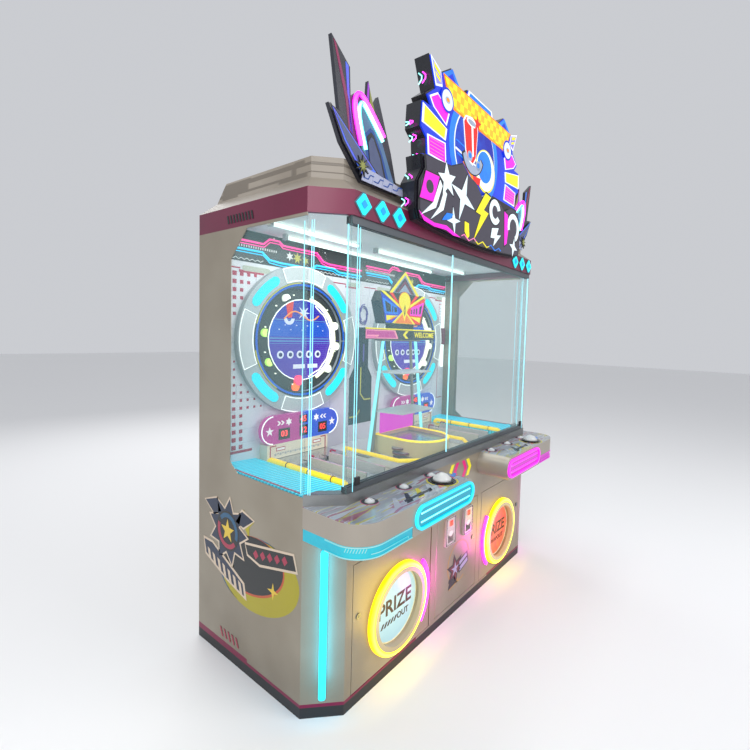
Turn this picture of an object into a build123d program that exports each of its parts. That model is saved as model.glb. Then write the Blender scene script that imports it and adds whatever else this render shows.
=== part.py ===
from build123d import *
import math
import os

# Two-player coin pusher cabinet, in millimetres.
# X runs to the right, Y to the back, Z up. The origin is the middle of the
# cabinet's base, on the floor.

# ---------------------------------------------------------------- cabinet
cabinet_width = 2104.0
cabinet_depth = 956.0
corner_cut = 130.0            # both front vertical corners are cut off by this much
panel_sheet = 3.0             # folded steel side, corner and back panels
base_board_height = 20.0
plinth_height = 47.0
plinth_width = 25.0
fascia_thickness = 18.0
sill_bottom = 916.0
sill_top = 962.0
header_bottom = 2100.0
header_top = 2200.0
header_sheet = 20.0

# ---------------------------------------------------------------- frame
tube = 40.0                   # square tube of the welded base frame
frame_setback = 10.0          # room for the lock cams between fascia and posts
centre_post_x = 255.0

# ---------------------------------------------------------------- roof
roof_lip_height = 55.0
roof_height = 140.0
roof_front_inset = 78.0
roof_side_inset = 50.0
roof_back_inset = 160.0
roof_sheet = 4.0

# ---------------------------------------------------------------- glazing
glass = 6.0
window_back = 190.0
window_bottom = 950.0
window_top = 2087.0
window_corner = 127.0         # slope across the upper back corner of the window
window_foot_run = 64.0
window_foot_rise = 46.0
glass_lap = 15.0              # how far the side glass reaches behind the panel
track_height = 23.0
track_floor = 10.0
track_front_gap = 8.0         # from the sill's front face to the track
groove = 8.0
groove_pitch = 19.0
pane_end = 918.0
pane_lap = 15.0
pane_meeting = -125.0
pane_rest_gap = 0.3
soffit_height = 31.0

# ---------------------------------------------------------------- playfield
deck_top = 900.0
deck_board = 18.0
bed_plate = 3.0
station_x = 575.0             # middle of each player's station
lane_width = 139.0
lane_wall = 10.0
lane_wall_height = 52.0
lane_wall_setback = 393.0
lane_wall_inset = 153.0
bed_inset = 113.0
coin_wall_setback = 216.0   # from the cabinet's back face, as the next ones
coin_wall_top = 1010.0
wall_setback = 148.0
wall_sheet = 12.0
ceiling_z = 2150.0
pusher_height = 24.0
pusher_setback = 383.0
pusher_length = 205.0
pusher_stroke = 60.0
slide_gap = 0.3
crank_setback = 278.0
pipe_radius = 14.0
pipe_z = 945.0
pipe_gap = 16.0               # from the pusher's edge to the middle of a guard pipe
chute_length = 70.0
supply_setback = 78.0

# ---------------------------------------------------------------- doors
door_gap = 3.0
prize_door_outer = 879.0
prize_door_inner = 284.0
prize_door_bottom = 60.0
coin_door_half = 229.0
coin_door_bottom = 71.0
door_top = 640.0
pin_radius = 4.0
pin_length = 12.0
running_gap = 0.05
ring_x = 560.0
ring_z = 305.0
ring_outer = 220.0
ring_inner = 172.0
ring_depth = 26.0
arc_radius = 247.0
arc_width = 18.0
flap_radius = 180.0
flap_thickness = 6.0
flap_hinge_rise = 190.0
flap_hinge_half = 60.0
lock_radius = 9.5
cam_thickness = 3.0
cam_bite = 9.0

# ---------------------------------------------------------------- coin plates
coin_plate_x = 100.0
coin_plate_z = 527.0
coin_plate_width = 104.0
coin_plate_height = 164.0
coin_plate_depth = 12.0
coin_slot = (3.4, 30.0)
reject_button = 28.0
reject_travel = 4.0
return_cup = (60.0, 46.0, 42.0)

# ---------------------------------------------------------------- consoles
console_reach = 200.0         # forward of the cabinet's front face
console_bottom = 770.0
console_top = 915.0
console_inner = 205.0
console_radius = 130.0
console_wall = 5.0
console_deck = 4.0
apron_bottom = 823.0
strip_inner = 735.0
strip_depth = 12.0
oval_inner = 214.0
oval_outer = 722.0
oval_height = 112.0
oval_tube = 13.0
oval_depth = 11.0
player_button_shift = 183.0   # to the right of each station's middle
player_button_reach = 122.0
player_button_radius = 46.0
bezel_width = 12.0
bezel_height = 9.0
button_cap_rise = 6.0
inlet_shifts = (-254.0, -14.0, 217.0)
inlet_reach = 37.0
inlet_radius = 21.0

# ---------------------------------------------------------------- displays
display_x = 525.0
display_z = 1582.0
display_radius = 424.0
screen_radius = 300.0
display_depth = 34.0
board_half = 278.0
board_bottom = coin_wall_top
board_height = 158.0
board_depth = 26.0

# ---------------------------------------------------------------- tower
tower_y = -5.0
tower_top = 1600.0
leg_radius = 10.0
outer_leg_foot = 279.0
outer_leg_head = 165.0
inner_leg_foot = 213.0
inner_leg_head = 143.0
tower_foot = 8.0
shelf_levels = ((1155.0, 165.0, 200.0, -170.0), (1395.0, 150.0, 190.0, -150.0))
shelf_thickness = 8.0
band_height = 66.0
band_half = 355.0
sign_depth = 70.0
sign_half = 235.0
sign_bottom = 1695.0
sign_shoulder = 1890.0
sign_apex = 2030.0
tray_half = 177.0
tray_inset = 113.0
tray_back = 40.0
tray_rim = 1010.0
tray_recess = 22.0
tray_wall = 14.0
tray_skirt = 6.0

# ---------------------------------------------------------------- marquee
marquee_reach = 42.0
marquee_depth = 90.0
marquee_face_sheet = 8.0
marquee_wall = 30.0
marquee_back_sheet = 5.0
marquee_step = 2262.0         # the box is full depth above this height
wing_thickness = 18.0

# ------------------------------------------------------------ worked out
half_width = cabinet_width / 2
half_depth = cabinet_depth / 2
front = -half_depth
coin_wall_y = half_depth - coin_wall_setback
wall_y = half_depth - wall_setback
lane_wall_back = half_depth - lane_wall_setback
pusher_front = half_depth - pusher_setback
crank_y = half_depth - crank_setback
lane_wall_front = front + lane_wall_inset
bed_front = front + bed_inset
tray_front = front + tray_inset
console_front = front - console_reach
player_button_y = front - player_button_reach
inlet_y = front - inlet_reach
marquee_front = front - marquee_reach
slope = math.sqrt(2.0) - 1.0
pusher_half = 1.5 * lane_width
bed_top = deck_top + bed_plate
frame_top = deck_top - deck_board
track_y = front + track_front_gap
outer_groove_y = track_y + groove
inner_groove_y = outer_groove_y + groove_pitch
track_depth = groove_pitch + 2 * groove
door_back = front + fascia_thickness


def block(x0, x1, y0, y1, z0, z1):
    """Box between two opposite corners."""
    size = (x1 - x0, y1 - y0, z1 - z0)
    middle = ((x0 + x1) / 2, (y0 + y1) / 2, (z0 + z1) / 2)
    return Pos(*middle) * Box(*size)


def upright(x, y, z0, z1, radius):
    """Vertical round bar."""
    return Pos(x, y, (z0 + z1) / 2) * Cylinder(radius, z1 - z0)


def through(x, z, y0, y1, radius):
    """Round bar along Y."""
    turned = Rot(90, 0, 0) * Cylinder(radius, y1 - y0)
    return Pos(x, (y0 + y1) / 2, z) * turned


def crossbar(x0, x1, y, z, radius):
    """Round bar along X."""
    turned = Rot(0, 90, 0) * Cylinder(radius, x1 - x0)
    return Pos((x0 + x1) / 2, y, z) * turned


def bar(start, end, radius):
    """Round bar between two points."""
    a = Vector(*start)
    b = Vector(*end)
    plane = Plane(origin=a, z_dir=(b - a))
    return extrude(plane * Circle(radius), amount=(b - a).length)


def flat(points, z0, z1):
    """Plan outline raised from z0 to z1."""
    outline = make_face(Polyline(*[(x, y, z0) for x, y in points], close=True))
    return extrude(outline, amount=z1 - z0, dir=(0, 0, 1))


def facing(points, y0, y1):
    """Front outline of (x, z) points, from y0 back to y1."""
    outline = make_face(Polyline(*[(x, y0, z) for x, z in points], close=True))
    return extrude(outline, amount=y1 - y0, dir=(0, 1, 0))


def sideways(points, x0, x1):
    """Side outline of (y, z) points, from x0 to x1."""
    outline = make_face(Polyline(*[(x0, y, z) for y, z in points], close=True))
    return extrude(outline, amount=x1 - x0, dir=(1, 0, 0))


def mirrored(shape):
    """The same piece on the right-hand side."""
    return mirror(shape, about=Plane.YZ)


def both(shape):
    """A piece and its mirror image, as two solids."""
    return Compound(children=list(shape.solids()) + list(mirrored(shape).solids()))


def plan(inset):
    """Cabinet outline seen from above, moved inwards by an inset."""
    x = half_width - inset
    y = half_depth - inset
    shift = inset * slope
    right = [(x, y), (x, -half_depth + corner_cut + shift), (half_width - corner_cut - shift, -y)]
    left = [(-px, py) for px, py in reversed(right)]
    return right + left


def ring(z0, z1, outer_inset, inner_inset):
    """Hollow upright band that follows the cabinet outline."""
    return flat(plan(outer_inset), z0, z1) - flat(plan(inner_inset), z0 - 1, z1 + 1)


def save(shape, name):
    """Write one sub-part."""
    export_step(shape, os.path.join("parts", name + ".step"))


def base_parts():
    board = flat(plan(plinth_width), 0, base_board_height)
    save(board, "base_board")
    save(ring(0, plinth_height, 0, plinth_width), "plinth")

    def rails(z0, front_y):
        z1 = z0 + tube
        inner = half_width - panel_sheet - tube
        side = half_depth - panel_sheet
        shapes = []
        for s in (-1, 1):
            xs = sorted((s * inner, s * (inner + tube)))
            shapes.append(block(xs[0], xs[1], -half_depth + corner_cut + tube, side, z0, z1))
        cut = half_width - corner_cut
        shapes.append(block(-inner, inner, side - tube, side, z0, z1))
        shapes.append(block(-cut + tube, cut - tube, front_y, front_y + tube, z0, z1))
        return shapes

    lower = plinth_height
    upper = frame_top - tube
    pieces = rails(lower, door_back + frame_setback) + rails(upper, door_back)
    for s in (-1, 1):
        corner_x = s * (half_width - panel_sheet - tube / 2)
        post_y = front + corner_cut + tube * 1.5
        cut_x = s * (half_width - corner_cut - tube / 2)
        front_y = door_back + frame_setback + tube / 2
        stations = [
            (corner_x, half_depth - panel_sheet - tube / 2),
            (corner_x, post_y),
            (cut_x, front_y),
            (s * centre_post_x, front_y),
        ]
        for x, y in stations:
            pieces.append(block(x - tube / 2, x + tube / 2, y - tube / 2, y + tube / 2, lower, frame_top))
        for z0 in (lower, upper):
            xs = sorted((cut_x - s * tube / 2, corner_x - s * tube / 2))
            pieces.append(block(xs[0], xs[1], post_y - tube / 2, post_y + tube / 2, z0, z0 + tube))
            ys = (front_y, post_y)
            pieces.append(block(cut_x - tube / 2, cut_x + tube / 2, ys[0], ys[1], z0, z0 + tube))
    frame = pieces[0]
    for piece in pieces[1:]:
        frame = frame + piece
    save(frame, "base_frame")


def window_outline():
    """Opening in the side panel, as (y, z) points; it is open to the front."""
    return [
        (-2 * half_depth, window_bottom),
        (window_back - window_foot_run, window_bottom),
        (window_back, window_bottom + window_foot_rise),
        (window_back, window_top - window_corner),
        (window_back - window_corner, window_top),
        (-2 * half_depth, window_top),
    ]


def casing_parts():
    shell = ring(plinth_height, header_bottom, 0, panel_sheet)
    seam_x = half_width - corner_cut
    back_y = half_depth - panel_sheet
    side = shell & block(-half_width - 1, -seam_x, front - 1, half_depth, 0, header_bottom)
    side = side - block(-half_width + panel_sheet, 0, back_y - 1, half_depth + 1, 0, header_bottom)
    side = side - sideways(window_outline(), -half_width - 1, -seam_x + 1)
    chamfer_top = block(
        -half_width - 1, -seam_x + 1, front - 1, front + corner_cut, sill_bottom, header_bottom + 1
    )
    save(both(side - chamfer_top), "side_panels")
    inner = half_width - panel_sheet
    save(block(-inner, inner, back_y, half_depth, plinth_height, header_bottom), "back_panel")

    fascia = block(-seam_x, seam_x, front, door_back, plinth_height, sill_bottom)
    for s in (-1, 1):
        xs = sorted((s * (prize_door_inner - door_gap), s * (prize_door_outer + door_gap)))
        z0 = prize_door_bottom - door_gap
        fascia -= block(xs[0], xs[1], front - 1, door_back + 1, z0, door_top + door_gap)
        x = s * pivot_x(prize_door_inner)
        fascia -= upright(x, pivot_y(), z0 - pin_length, z0 + 1, pin_radius + running_gap)
        fascia -= upright(x, pivot_y(), door_top, door_top + pin_length, pin_radius + running_gap)
    half = coin_door_half + door_gap
    z0 = coin_door_bottom - door_gap
    fascia -= block(-half, half, front - 1, door_back + 1, z0, door_top + door_gap)
    x = -coin_door_half + fascia_thickness / 2
    fascia -= upright(x, pivot_y(), z0 - pin_length, z0 + 1, pin_radius + running_gap)
    fascia -= upright(x, pivot_y(), door_top, door_top + pin_length, pin_radius + running_gap)
    save(fascia, "front_fascia")

    save(sill(), "sill_ledge")


def sill():
    """Ledge along the front and both cut corners, under the glass."""
    ledge = ring(sill_bottom, sill_top, 0, track_front_gap + track_depth + track_front_gap)
    return ledge & block(-half_width, half_width, front, front + corner_cut, 0, sill_top)


def pivot_x(edge):
    """Distance from the middle of a prize door's pivot, inside its inner edge."""
    return edge + fascia_thickness / 2


def pivot_y():
    """Door pivots sit in the middle of the door's thickness."""
    return front + fascia_thickness / 2


def glazing_parts():
    end = half_width - corner_cut
    rear = track_y + track_depth

    def grooves(z0, z1):
        cut = None
        for y in (outer_groove_y, inner_groove_y):
            slot = block(-end - 1, end + 1, y - groove / 2, y + groove / 2, z0, z1)
            cut = slot if cut is None else cut + slot
        return cut

    floor = sill_top + track_floor
    lower = block(-end, end, track_y, rear, sill_top, sill_top + track_height)
    lower = lower - grooves(floor, sill_top + track_height + 1)
    soffit = header_bottom - soffit_height
    upper = block(-end, end, track_y, rear, soffit, header_bottom)
    upper = upper - grooves(soffit - 1, header_bottom - pane_rest_gap * 10)
    save(Compound(children=[lower.solid(), upper.solid()]), "glass_tracks")

    shell = ring(window_bottom - glass_lap, header_bottom, panel_sheet, panel_sheet + glass)
    joint = front + corner_cut + panel_sheet * slope
    side = shell & block(
        -half_width, 0, joint, window_back + glass_lap, window_bottom - glass_lap, header_bottom
    )
    corner = shell & block(-half_width, -end - panel_sheet, front, joint, sill_top, header_bottom)
    save(both(Compound(children=[side.solid(), corner.solid()])), "fixed_glass")

    z0 = floor + pane_rest_gap
    z1 = header_bottom - pane_rest_gap * 10 - 5.0
    y = inner_groove_y
    left = block(-pane_end, pane_meeting + pane_lap, y - glass / 2, y + glass / 2, z0, z1)
    y = outer_groove_y
    right = block(pane_meeting - pane_lap, pane_end, y - glass / 2, y + glass / 2, z0, z1)
    save(left, "glass_pane_left")
    save(right, "glass_pane_right")


def roof_outline(z, front_inset, side_inset, back_inset):
    """Roof outline at one height; its front corners are cut like the cabinet's."""
    x = half_width - side_inset
    y = half_depth - front_inset
    cut = corner_cut - (front_inset + side_inset) * (1 - math.sqrt(0.5))
    rear = half_depth - back_inset
    points = [(x, rear), (x, -y + cut), (x - cut, -y), (cut - x, -y), (-x, -y + cut), (-x, rear)]
    return make_face(Polyline(*[(px, py, z) for px, py in points], close=True))


def roof_solid(skin, drop):
    """Lip and raised top of the roof, inset by the skin; drop lowers both levels."""
    lip = header_top + roof_lip_height - drop
    top = header_top + roof_height - drop
    low = roof_outline(header_top, skin, skin, skin)
    middle_back = roof_back_inset * 0.5
    mid = roof_outline(lip, roof_front_inset + skin, roof_side_inset + skin, middle_back + skin)
    high = roof_outline(top, roof_front_inset + skin, roof_side_inset + skin, roof_back_inset + skin)
    return loft([low, mid], ruled=True) + loft([mid, high], ruled=True)


def roof_parts():
    save(ring(header_bottom, header_top, 0, header_sheet), "header_band")
    save(roof_solid(0, 0) - roof_solid(roof_sheet, roof_sheet), "roof_cover")
    save(flat(plan(header_sheet), ceiling_z, ceiling_z + wall_sheet), "ceiling_panel")


def marquee_outline():
    """Half of the light box's front outline, from top middle to bottom middle."""
    return [
        (0, 2924), (138, 2924), (158, 2880), (215, 2886), (300, 2955), (395, 2890),
        (495, 2928), (440, 2800), (512, 2742), (478, 2700), (545, 2698), (552, 2582),
        (505, 2545), (497, 2468), (540, 2462), (528, 2400), (574, 2330), (574, 2205),
        (556, 2160), (300, 2140), (0, 2132),
    ]


def symmetric(half):
    """Close a half outline, given for positive x, about the middle plane."""
    left = [(-x, z) for x, z in reversed(half) if x > 0]
    return half + left


def inset_outline(points, amount):
    """Front face outline drawn in towards the light box's middle."""
    middle = 2520.0
    scale_x = 1 - amount / 560.0
    scale_z = 1 - amount / 400.0
    return [(x * scale_x, middle + (z - middle) * scale_z) for x, z in points]


def marquee_parts():
    outline = symmetric(marquee_outline())
    back = marquee_front + marquee_depth
    body = facing(outline, marquee_front + marquee_face_sheet, back)
    hollow = facing(inset_outline(outline, marquee_wall), marquee_front, back - marquee_back_sheet)
    body -= hollow & block(-700, 700, marquee_front, back, marquee_step + marquee_back_sheet, 3000)
    body -= block(-700, 700, front, back + 1, 0, marquee_step)
    roof_front = -half_depth + roof_front_inset
    for s in (-1, 1):
        x = s * 300.0
        body += block(x - 40, x + 40, back, roof_front, marquee_step + 10, header_top + roof_height - 15)
    save(body, "marquee_box")
    face = facing(inset_outline(outline, 6.0), marquee_front, marquee_front + marquee_face_sheet)
    save(face, "marquee_face")

    # each wing stands against the front of the roof's raised top
    wing = [
        (-826, 2268), (-949, 2390), (-1016, 2514), (-958, 2504), (-1007, 2773), (-904, 2696),
        (-897, 2583), (-872, 2610), (-838, 2614), (-801, 2590), (-794, 2694), (-762, 2600),
        (-730, 2656), (-634, 2446), (-576, 2275),
    ]
    wing_back = -half_depth + roof_front_inset
    save(both(facing(wing, wing_back - wing_thickness, wing_back)), "roof_wings")


def console_outline(inset, back_inset, z0, z1):
    """Left console seen from above; the back follows the cabinet's front."""
    x_out = half_width - inset
    y_front = console_front + inset
    shift = back_inset * slope
    cut_x = half_width - corner_cut + shift
    points = [
        (-console_inner - back_inset, y_front),
        (-x_out, y_front),
        (-x_out, front + corner_cut - back_inset - shift),
        (-cut_x, front - back_inset),
        (-console_inner - back_inset, front - back_inset),
    ]
    points[2] = (-x_out, front - back_inset + (x_out - cut_x))
    solid = flat(points, z0, z1)
    corner = solid.edges().filter_by(Axis.Z).sort_by(SortBy.DISTANCE)
    target = min(corner, key=lambda e: abs(e.center().X + x_out) + abs(e.center().Y - y_front))
    return fillet(target, console_radius - inset)


def rounded_end(grow, z0, z1):
    """Round inner end of the left console, as a long bar to cut its shape with."""
    radius = (z1 - z0) / 2 - grow
    middle_z = (z0 + z1) / 2
    x = -console_inner - (z1 - z0) / 2
    end = through(x, middle_z, console_front - 1, front + 1, radius)
    rest = block(-half_width - 1, x, console_front - 1, front + corner_cut + 1, z0 + grow, z1 - grow)
    return end + rest


def console_parts():
    rim = console_top - console_deck
    outer = console_outline(0, 0, console_bottom, console_top)
    outer = outer & rounded_end(0, console_bottom, console_top)
    shell = outer - block(-half_width - 1, 0, -1000, 0, rim, console_top + 1)
    wall = console_wall
    radius_x = -console_inner - (console_top - console_bottom) / 2
    upper = console_outline(wall, wall, apron_bottom + wall, console_top)
    shell -= upper & block(-half_width, radius_x, -1000, 0, 0, console_top)
    deep = strip_depth + wall
    lower = console_outline(deep, wall, console_bottom + wall, apron_bottom + wall)
    shell -= lower & block(-half_width, radius_x, -1000, 0, 0, console_top)
    rebate = console_outline(-1, 0, console_bottom - 1, apron_bottom)
    rebate -= console_outline(strip_depth, 0, console_bottom - 2, apron_bottom + 1)
    zone = block(-half_width - 2, -strip_inner, console_front - 2, front + corner_cut, 0, apron_bottom)
    shell -= rebate & zone
    save(both(shell), "console_shells")

    strip = console_outline(2, 0, console_bottom + 2, apron_bottom)
    strip -= console_outline(strip_depth, 0, console_bottom, apron_bottom + 1)
    strip = (strip & zone).solid()

    deck = outer & block(-half_width - 1, 0, -1000, 0, rim, console_top)
    decks = both(deck)
    bezels = []
    domes = []
    for s, side in ((-1, "left"), (1, "right")):
        x = s * station_x + player_button_shift
        y = player_button_y
        decks -= upright(x, y, rim - 1, console_top + 1, player_button_radius)
        bezel_top = console_top + bezel_height
        bezel = upright(x, y, console_top, bezel_top, player_button_radius + bezel_width)
        bezels.append(bezel - upright(x, y, console_top - 1, bezel_top + 1, player_button_radius))
        plunger = player_button_radius - slide_gap
        cap_top = bezel_top + button_cap_rise
        button = upright(x, y, rim - 12, cap_top, plunger)
        crown = Pos(x, y, cap_top - 20) * Sphere(plunger)
        button += crown & upright(x, y, cap_top - 1, cap_top + 40, plunger)
        save(button, "player_button_" + side)
        for shift in inlet_shifts:
            x = s * station_x + shift
            base = upright(x, inlet_y, console_top, console_top + 5, inlet_radius)
            cap = Pos(x, inlet_y, console_top - 6) * Sphere(inlet_radius)
            dome = base + (cap & upright(x, inlet_y, console_top + 4, console_top + 30, inlet_radius))
            slot = block(x - coin_slot[0] / 2, x + coin_slot[0] / 2, inlet_y - 14, inlet_y + 14,
                         console_top + 6, console_top + 40)
            domes.append((dome - slot).solid())
    save(Compound(children=list(decks.solids())), "console_decks")
    save(Compound(children=bezels), "button_bezels")
    save(Compound(children=domes), "coin_inlets")

    # LED tubes in front of the consoles and up the cut corners
    oval_z = (console_bottom + console_top) / 2
    oval = stadium(oval_inner, oval_outer, oval_z, oval_height / 2)
    oval -= stadium(oval_inner + oval_tube, oval_outer - oval_tube, oval_z, oval_height / 2 - oval_tube)
    middle = (-(half_width - corner_cut / 2), front + corner_cut / 2)
    out = math.sqrt(0.5)
    tube_plane = Plane(
        origin=(middle[0], middle[1], 407.0),
        x_dir=(out, -out, 0), z_dir=(-out, -out, 0),
    )
    corner_tube = extrude(tube_plane * RectangleRounded(31, 648, 12), amount=13)
    save(both(Compound(children=[oval.solid(), corner_tube.solid(), strip])), "led_tubes")


def stadium(inner, outer, z, radius):
    """Flat oval in front of the left console."""
    x0 = -outer + radius
    x1 = -inner - radius
    y0 = console_front - oval_depth
    shape = block(x0, x1, y0, console_front, z - radius, z + radius)
    shape += through(x0, z, y0, console_front, radius)
    shape += through(x1, z, y0, console_front, radius)
    return shape


def pivoted_panel(x_pivot, x_far, z0, z1):
    """Door leaf whose pivot edge is round, with a pin at top and bottom."""
    y0 = front
    y1 = door_back
    xs = sorted((x_pivot, x_far))
    leaf = block(xs[0], xs[1], y0, y1, z0, z1)
    leaf += upright(x_pivot, pivot_y(), z0, z1, fascia_thickness / 2)
    leaf += upright(x_pivot, pivot_y(), z0 - pin_length, z1 + pin_length, pin_radius)
    return leaf


def lock(x, z, edge, side):
    """Cam lock: head, barrel and a cam that hangs down when unlocked."""
    reach = edge - x + door_gap + cam_bite if side > 0 else x - edge + door_gap + cam_bite
    cam_y = door_back + 2.5
    body = through(x, z, front - 4, front, lock_radius + 4)
    body += through(x, z, front - 1, cam_y + cam_thickness, lock_radius)
    body += block(x - 7, x + 7, cam_y, cam_y + cam_thickness, z - reach, z)
    body -= block(x - 1, x + 1, front - 5, front - 2, z - 5, z + 5)
    return body


def prize_door_parts():
    x_pivot = -pivot_x(prize_door_inner)
    door = pivoted_panel(x_pivot, -prize_door_outer, prize_door_bottom, door_top)
    door -= through(-ring_x, ring_z, front - 1, door_back + 1, ring_inner)
    lock_x = -prize_door_outer + 34.0
    lock_z = 400.0
    door -= through(lock_x, lock_z, front - 1, door_back + 1, lock_radius + running_gap)
    hinge_y = door_back + 7.0
    hinge_z = ring_z + flap_hinge_rise
    for s in (-1, 1):
        inner = -ring_x + s * (flap_hinge_half + slide_gap)
        xs = sorted((inner, inner + s * 12.0))
        door += block(xs[0], xs[1], door_back - 1, door_back + 14, hinge_z - 8, hinge_z + 8)
    door -= crossbar(-ring_x - 90, -ring_x + 90, hinge_y, hinge_z, 3 + running_gap)
    save(door, "prize_door_left")
    save(mirrored(door), "prize_door_right")

    flap_y = door_back + slide_gap
    flap = through(-ring_x, ring_z, flap_y, flap_y + flap_thickness, flap_radius)
    flap += block(
        -ring_x - flap_hinge_half, -ring_x + flap_hinge_half, flap_y, flap_y + flap_thickness,
        ring_z + flap_radius * 0.8, hinge_z,
    )
    flap += crossbar(-ring_x - flap_hinge_half, -ring_x + flap_hinge_half, hinge_y, hinge_z, 5)
    pin_half = flap_hinge_half + 10
    flap += crossbar(-ring_x - pin_half, -ring_x + pin_half, hinge_y, hinge_z, 3)
    save(flap, "prize_flap_left")
    save(mirrored(flap), "prize_flap_right")

    y0 = front - ring_depth
    neon = through(-ring_x, ring_z, y0, front, ring_outer)
    neon = fillet(neon.edges().filter_by(GeomType.CIRCLE).sort_by(Axis.Y)[0], 14)
    neon -= through(-ring_x, ring_z, y0 - 1, front + 1, ring_inner)
    y1 = front - 14
    arc = through(-ring_x, ring_z, y1, front, arc_radius + arc_width / 2)
    arc -= through(-ring_x, ring_z, y1 - 1, front + 1, arc_radius - arc_width / 2)
    wedge = [(-ring_x, ring_z), (-ring_x + 400, ring_z + 330), (-ring_x + 400, ring_z - 360)]
    arc = arc & facing(wedge, y1 - 2, front + 2)
    save(Compound(children=[neon.solid(), arc.solid()]), "prize_ring_left")
    save(mirrored(Compound(children=[neon.solid(), arc.solid()])), "prize_ring_right")

    left = lock(lock_x, lock_z, -prize_door_outer, -1)
    save(left, "door_lock_left")
    save(mirrored(left), "door_lock_right")


def coin_door_parts():
    x_pivot = -coin_door_half + fascia_thickness / 2
    door = pivoted_panel(x_pivot, coin_door_half, coin_door_bottom, door_top)
    lock_x = 179.0
    lock_z = 390.0
    door -= through(lock_x, lock_z, front - 1, door_back + 1, lock_radius + running_gap)
    hole_x = coin_plate_width / 2 - 10
    hole_z = coin_plate_height / 2 - 10
    for s in (-1, 1):
        x = s * coin_plate_x
        door -= block(x - hole_x, x + hole_x, front - 1, door_back + 1,
                      coin_plate_z - hole_z, coin_plate_z + hole_z)
    save(door, "coin_door")
    save(lock(lock_x, lock_z, coin_door_half, 1), "door_lock_coin")

    plates = []
    selectors = []
    button_z = coin_plate_z + 46.0
    cup_z = coin_plate_z - 42.0
    cup_w, cup_h, cup_d = return_cup
    for s in (-1, 1):
        x = s * coin_plate_x
        y0 = front - coin_plate_depth
        plate = block(x - coin_plate_width / 2, x + coin_plate_width / 2, y0, front,
                      coin_plate_z - coin_plate_height / 2, coin_plate_z + coin_plate_height / 2)
        plate = fillet(plate.edges().filter_by(Axis.Y), 8)
        plate += block(x - cup_w / 2 - 2, x + cup_w / 2 + 2, front - 1, front + cup_d,
                       cup_z - cup_h / 2 - 2, cup_z + cup_h / 2 + 2)
        plate -= block(x - cup_w / 2, x + cup_w / 2, y0 - 1, front + cup_d - 2,
                       cup_z - cup_h / 2, cup_z + cup_h / 2)
        half = reject_button / 2
        plate -= block(x - half, x + half, y0 - 1, front + 1, button_z - half, button_z + half)
        slot_x = x - s * 32
        plate -= block(slot_x - coin_slot[0] / 2, slot_x + coin_slot[0] / 2, y0 - 1, front + 1,
                       button_z - coin_slot[1] / 2, button_z + coin_slot[1] / 2)
        plates.append(plate.solid())
        size = half - slide_gap
        button = block(x - size, x + size, y0 - reject_travel, front - reject_travel,
                       button_z - size, button_z + size)
        save(button, "reject_button_left" if s < 0 else "reject_button_right")
        top = coin_plate_z + hole_z - 1
        selector = block(x - hole_x + 1, x + hole_x - 1, front, front + 70, coin_plate_z - 6, top)
        selector -= block(x - half - 1, x + half + 1, front - 1, front + reject_travel + 1,
                          button_z - half - 1, button_z + half + 1)
        selector -= block(slot_x - 2, slot_x + 2, front - 1, front + 60,
                          button_z - coin_slot[1] / 2, button_z + coin_slot[1] / 2)
        selectors.append(selector.solid())
    save(Compound(children=plates), "coin_plates")
    save(Compound(children=selectors), "coin_selectors")


def open_box(x0, x1, y0, y1, z0, z1, wall, front_height):
    """Bin with an open top and a lower front wall."""
    outer = block(x0, x1, y0, y1, z0, z1)
    inner = block(x0 + wall, x1 - wall, y0 + wall, y1 - wall, z0 + wall, z1 + 1)
    cut = block(x0 + wall, x1 - wall, y0 - 1, y0 + wall + 1, z0 + front_height, z1 + 1)
    return outer - inner - cut


def inside_parts():
    floor = base_board_height
    bin_front = door_back + frame_setback + tube + 2
    bin_shape = open_box(-800, -320, bin_front, -60, floor, 560, 4, 98)
    save(both(bin_shape), "prize_bins")
    save(open_box(-150, 150, bin_front, -150, floor, 220, 3, 200), "cash_box")
    save(both(open_box(-700, -450, wall_y - 270, wall_y, floor, 330, 4, 310)), "coin_hoppers")
    supply_back = half_depth - supply_setback
    supply = block(-110, 110, supply_back - 170, supply_back, floor, 130)
    vents = supply
    for i in range(6):
        x = -80 + 32 * i
        vents = vents - block(x - 4, x + 4, supply_back - 160, supply_back - 10, 122, 131)
    save(vents, "power_supply")


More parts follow.
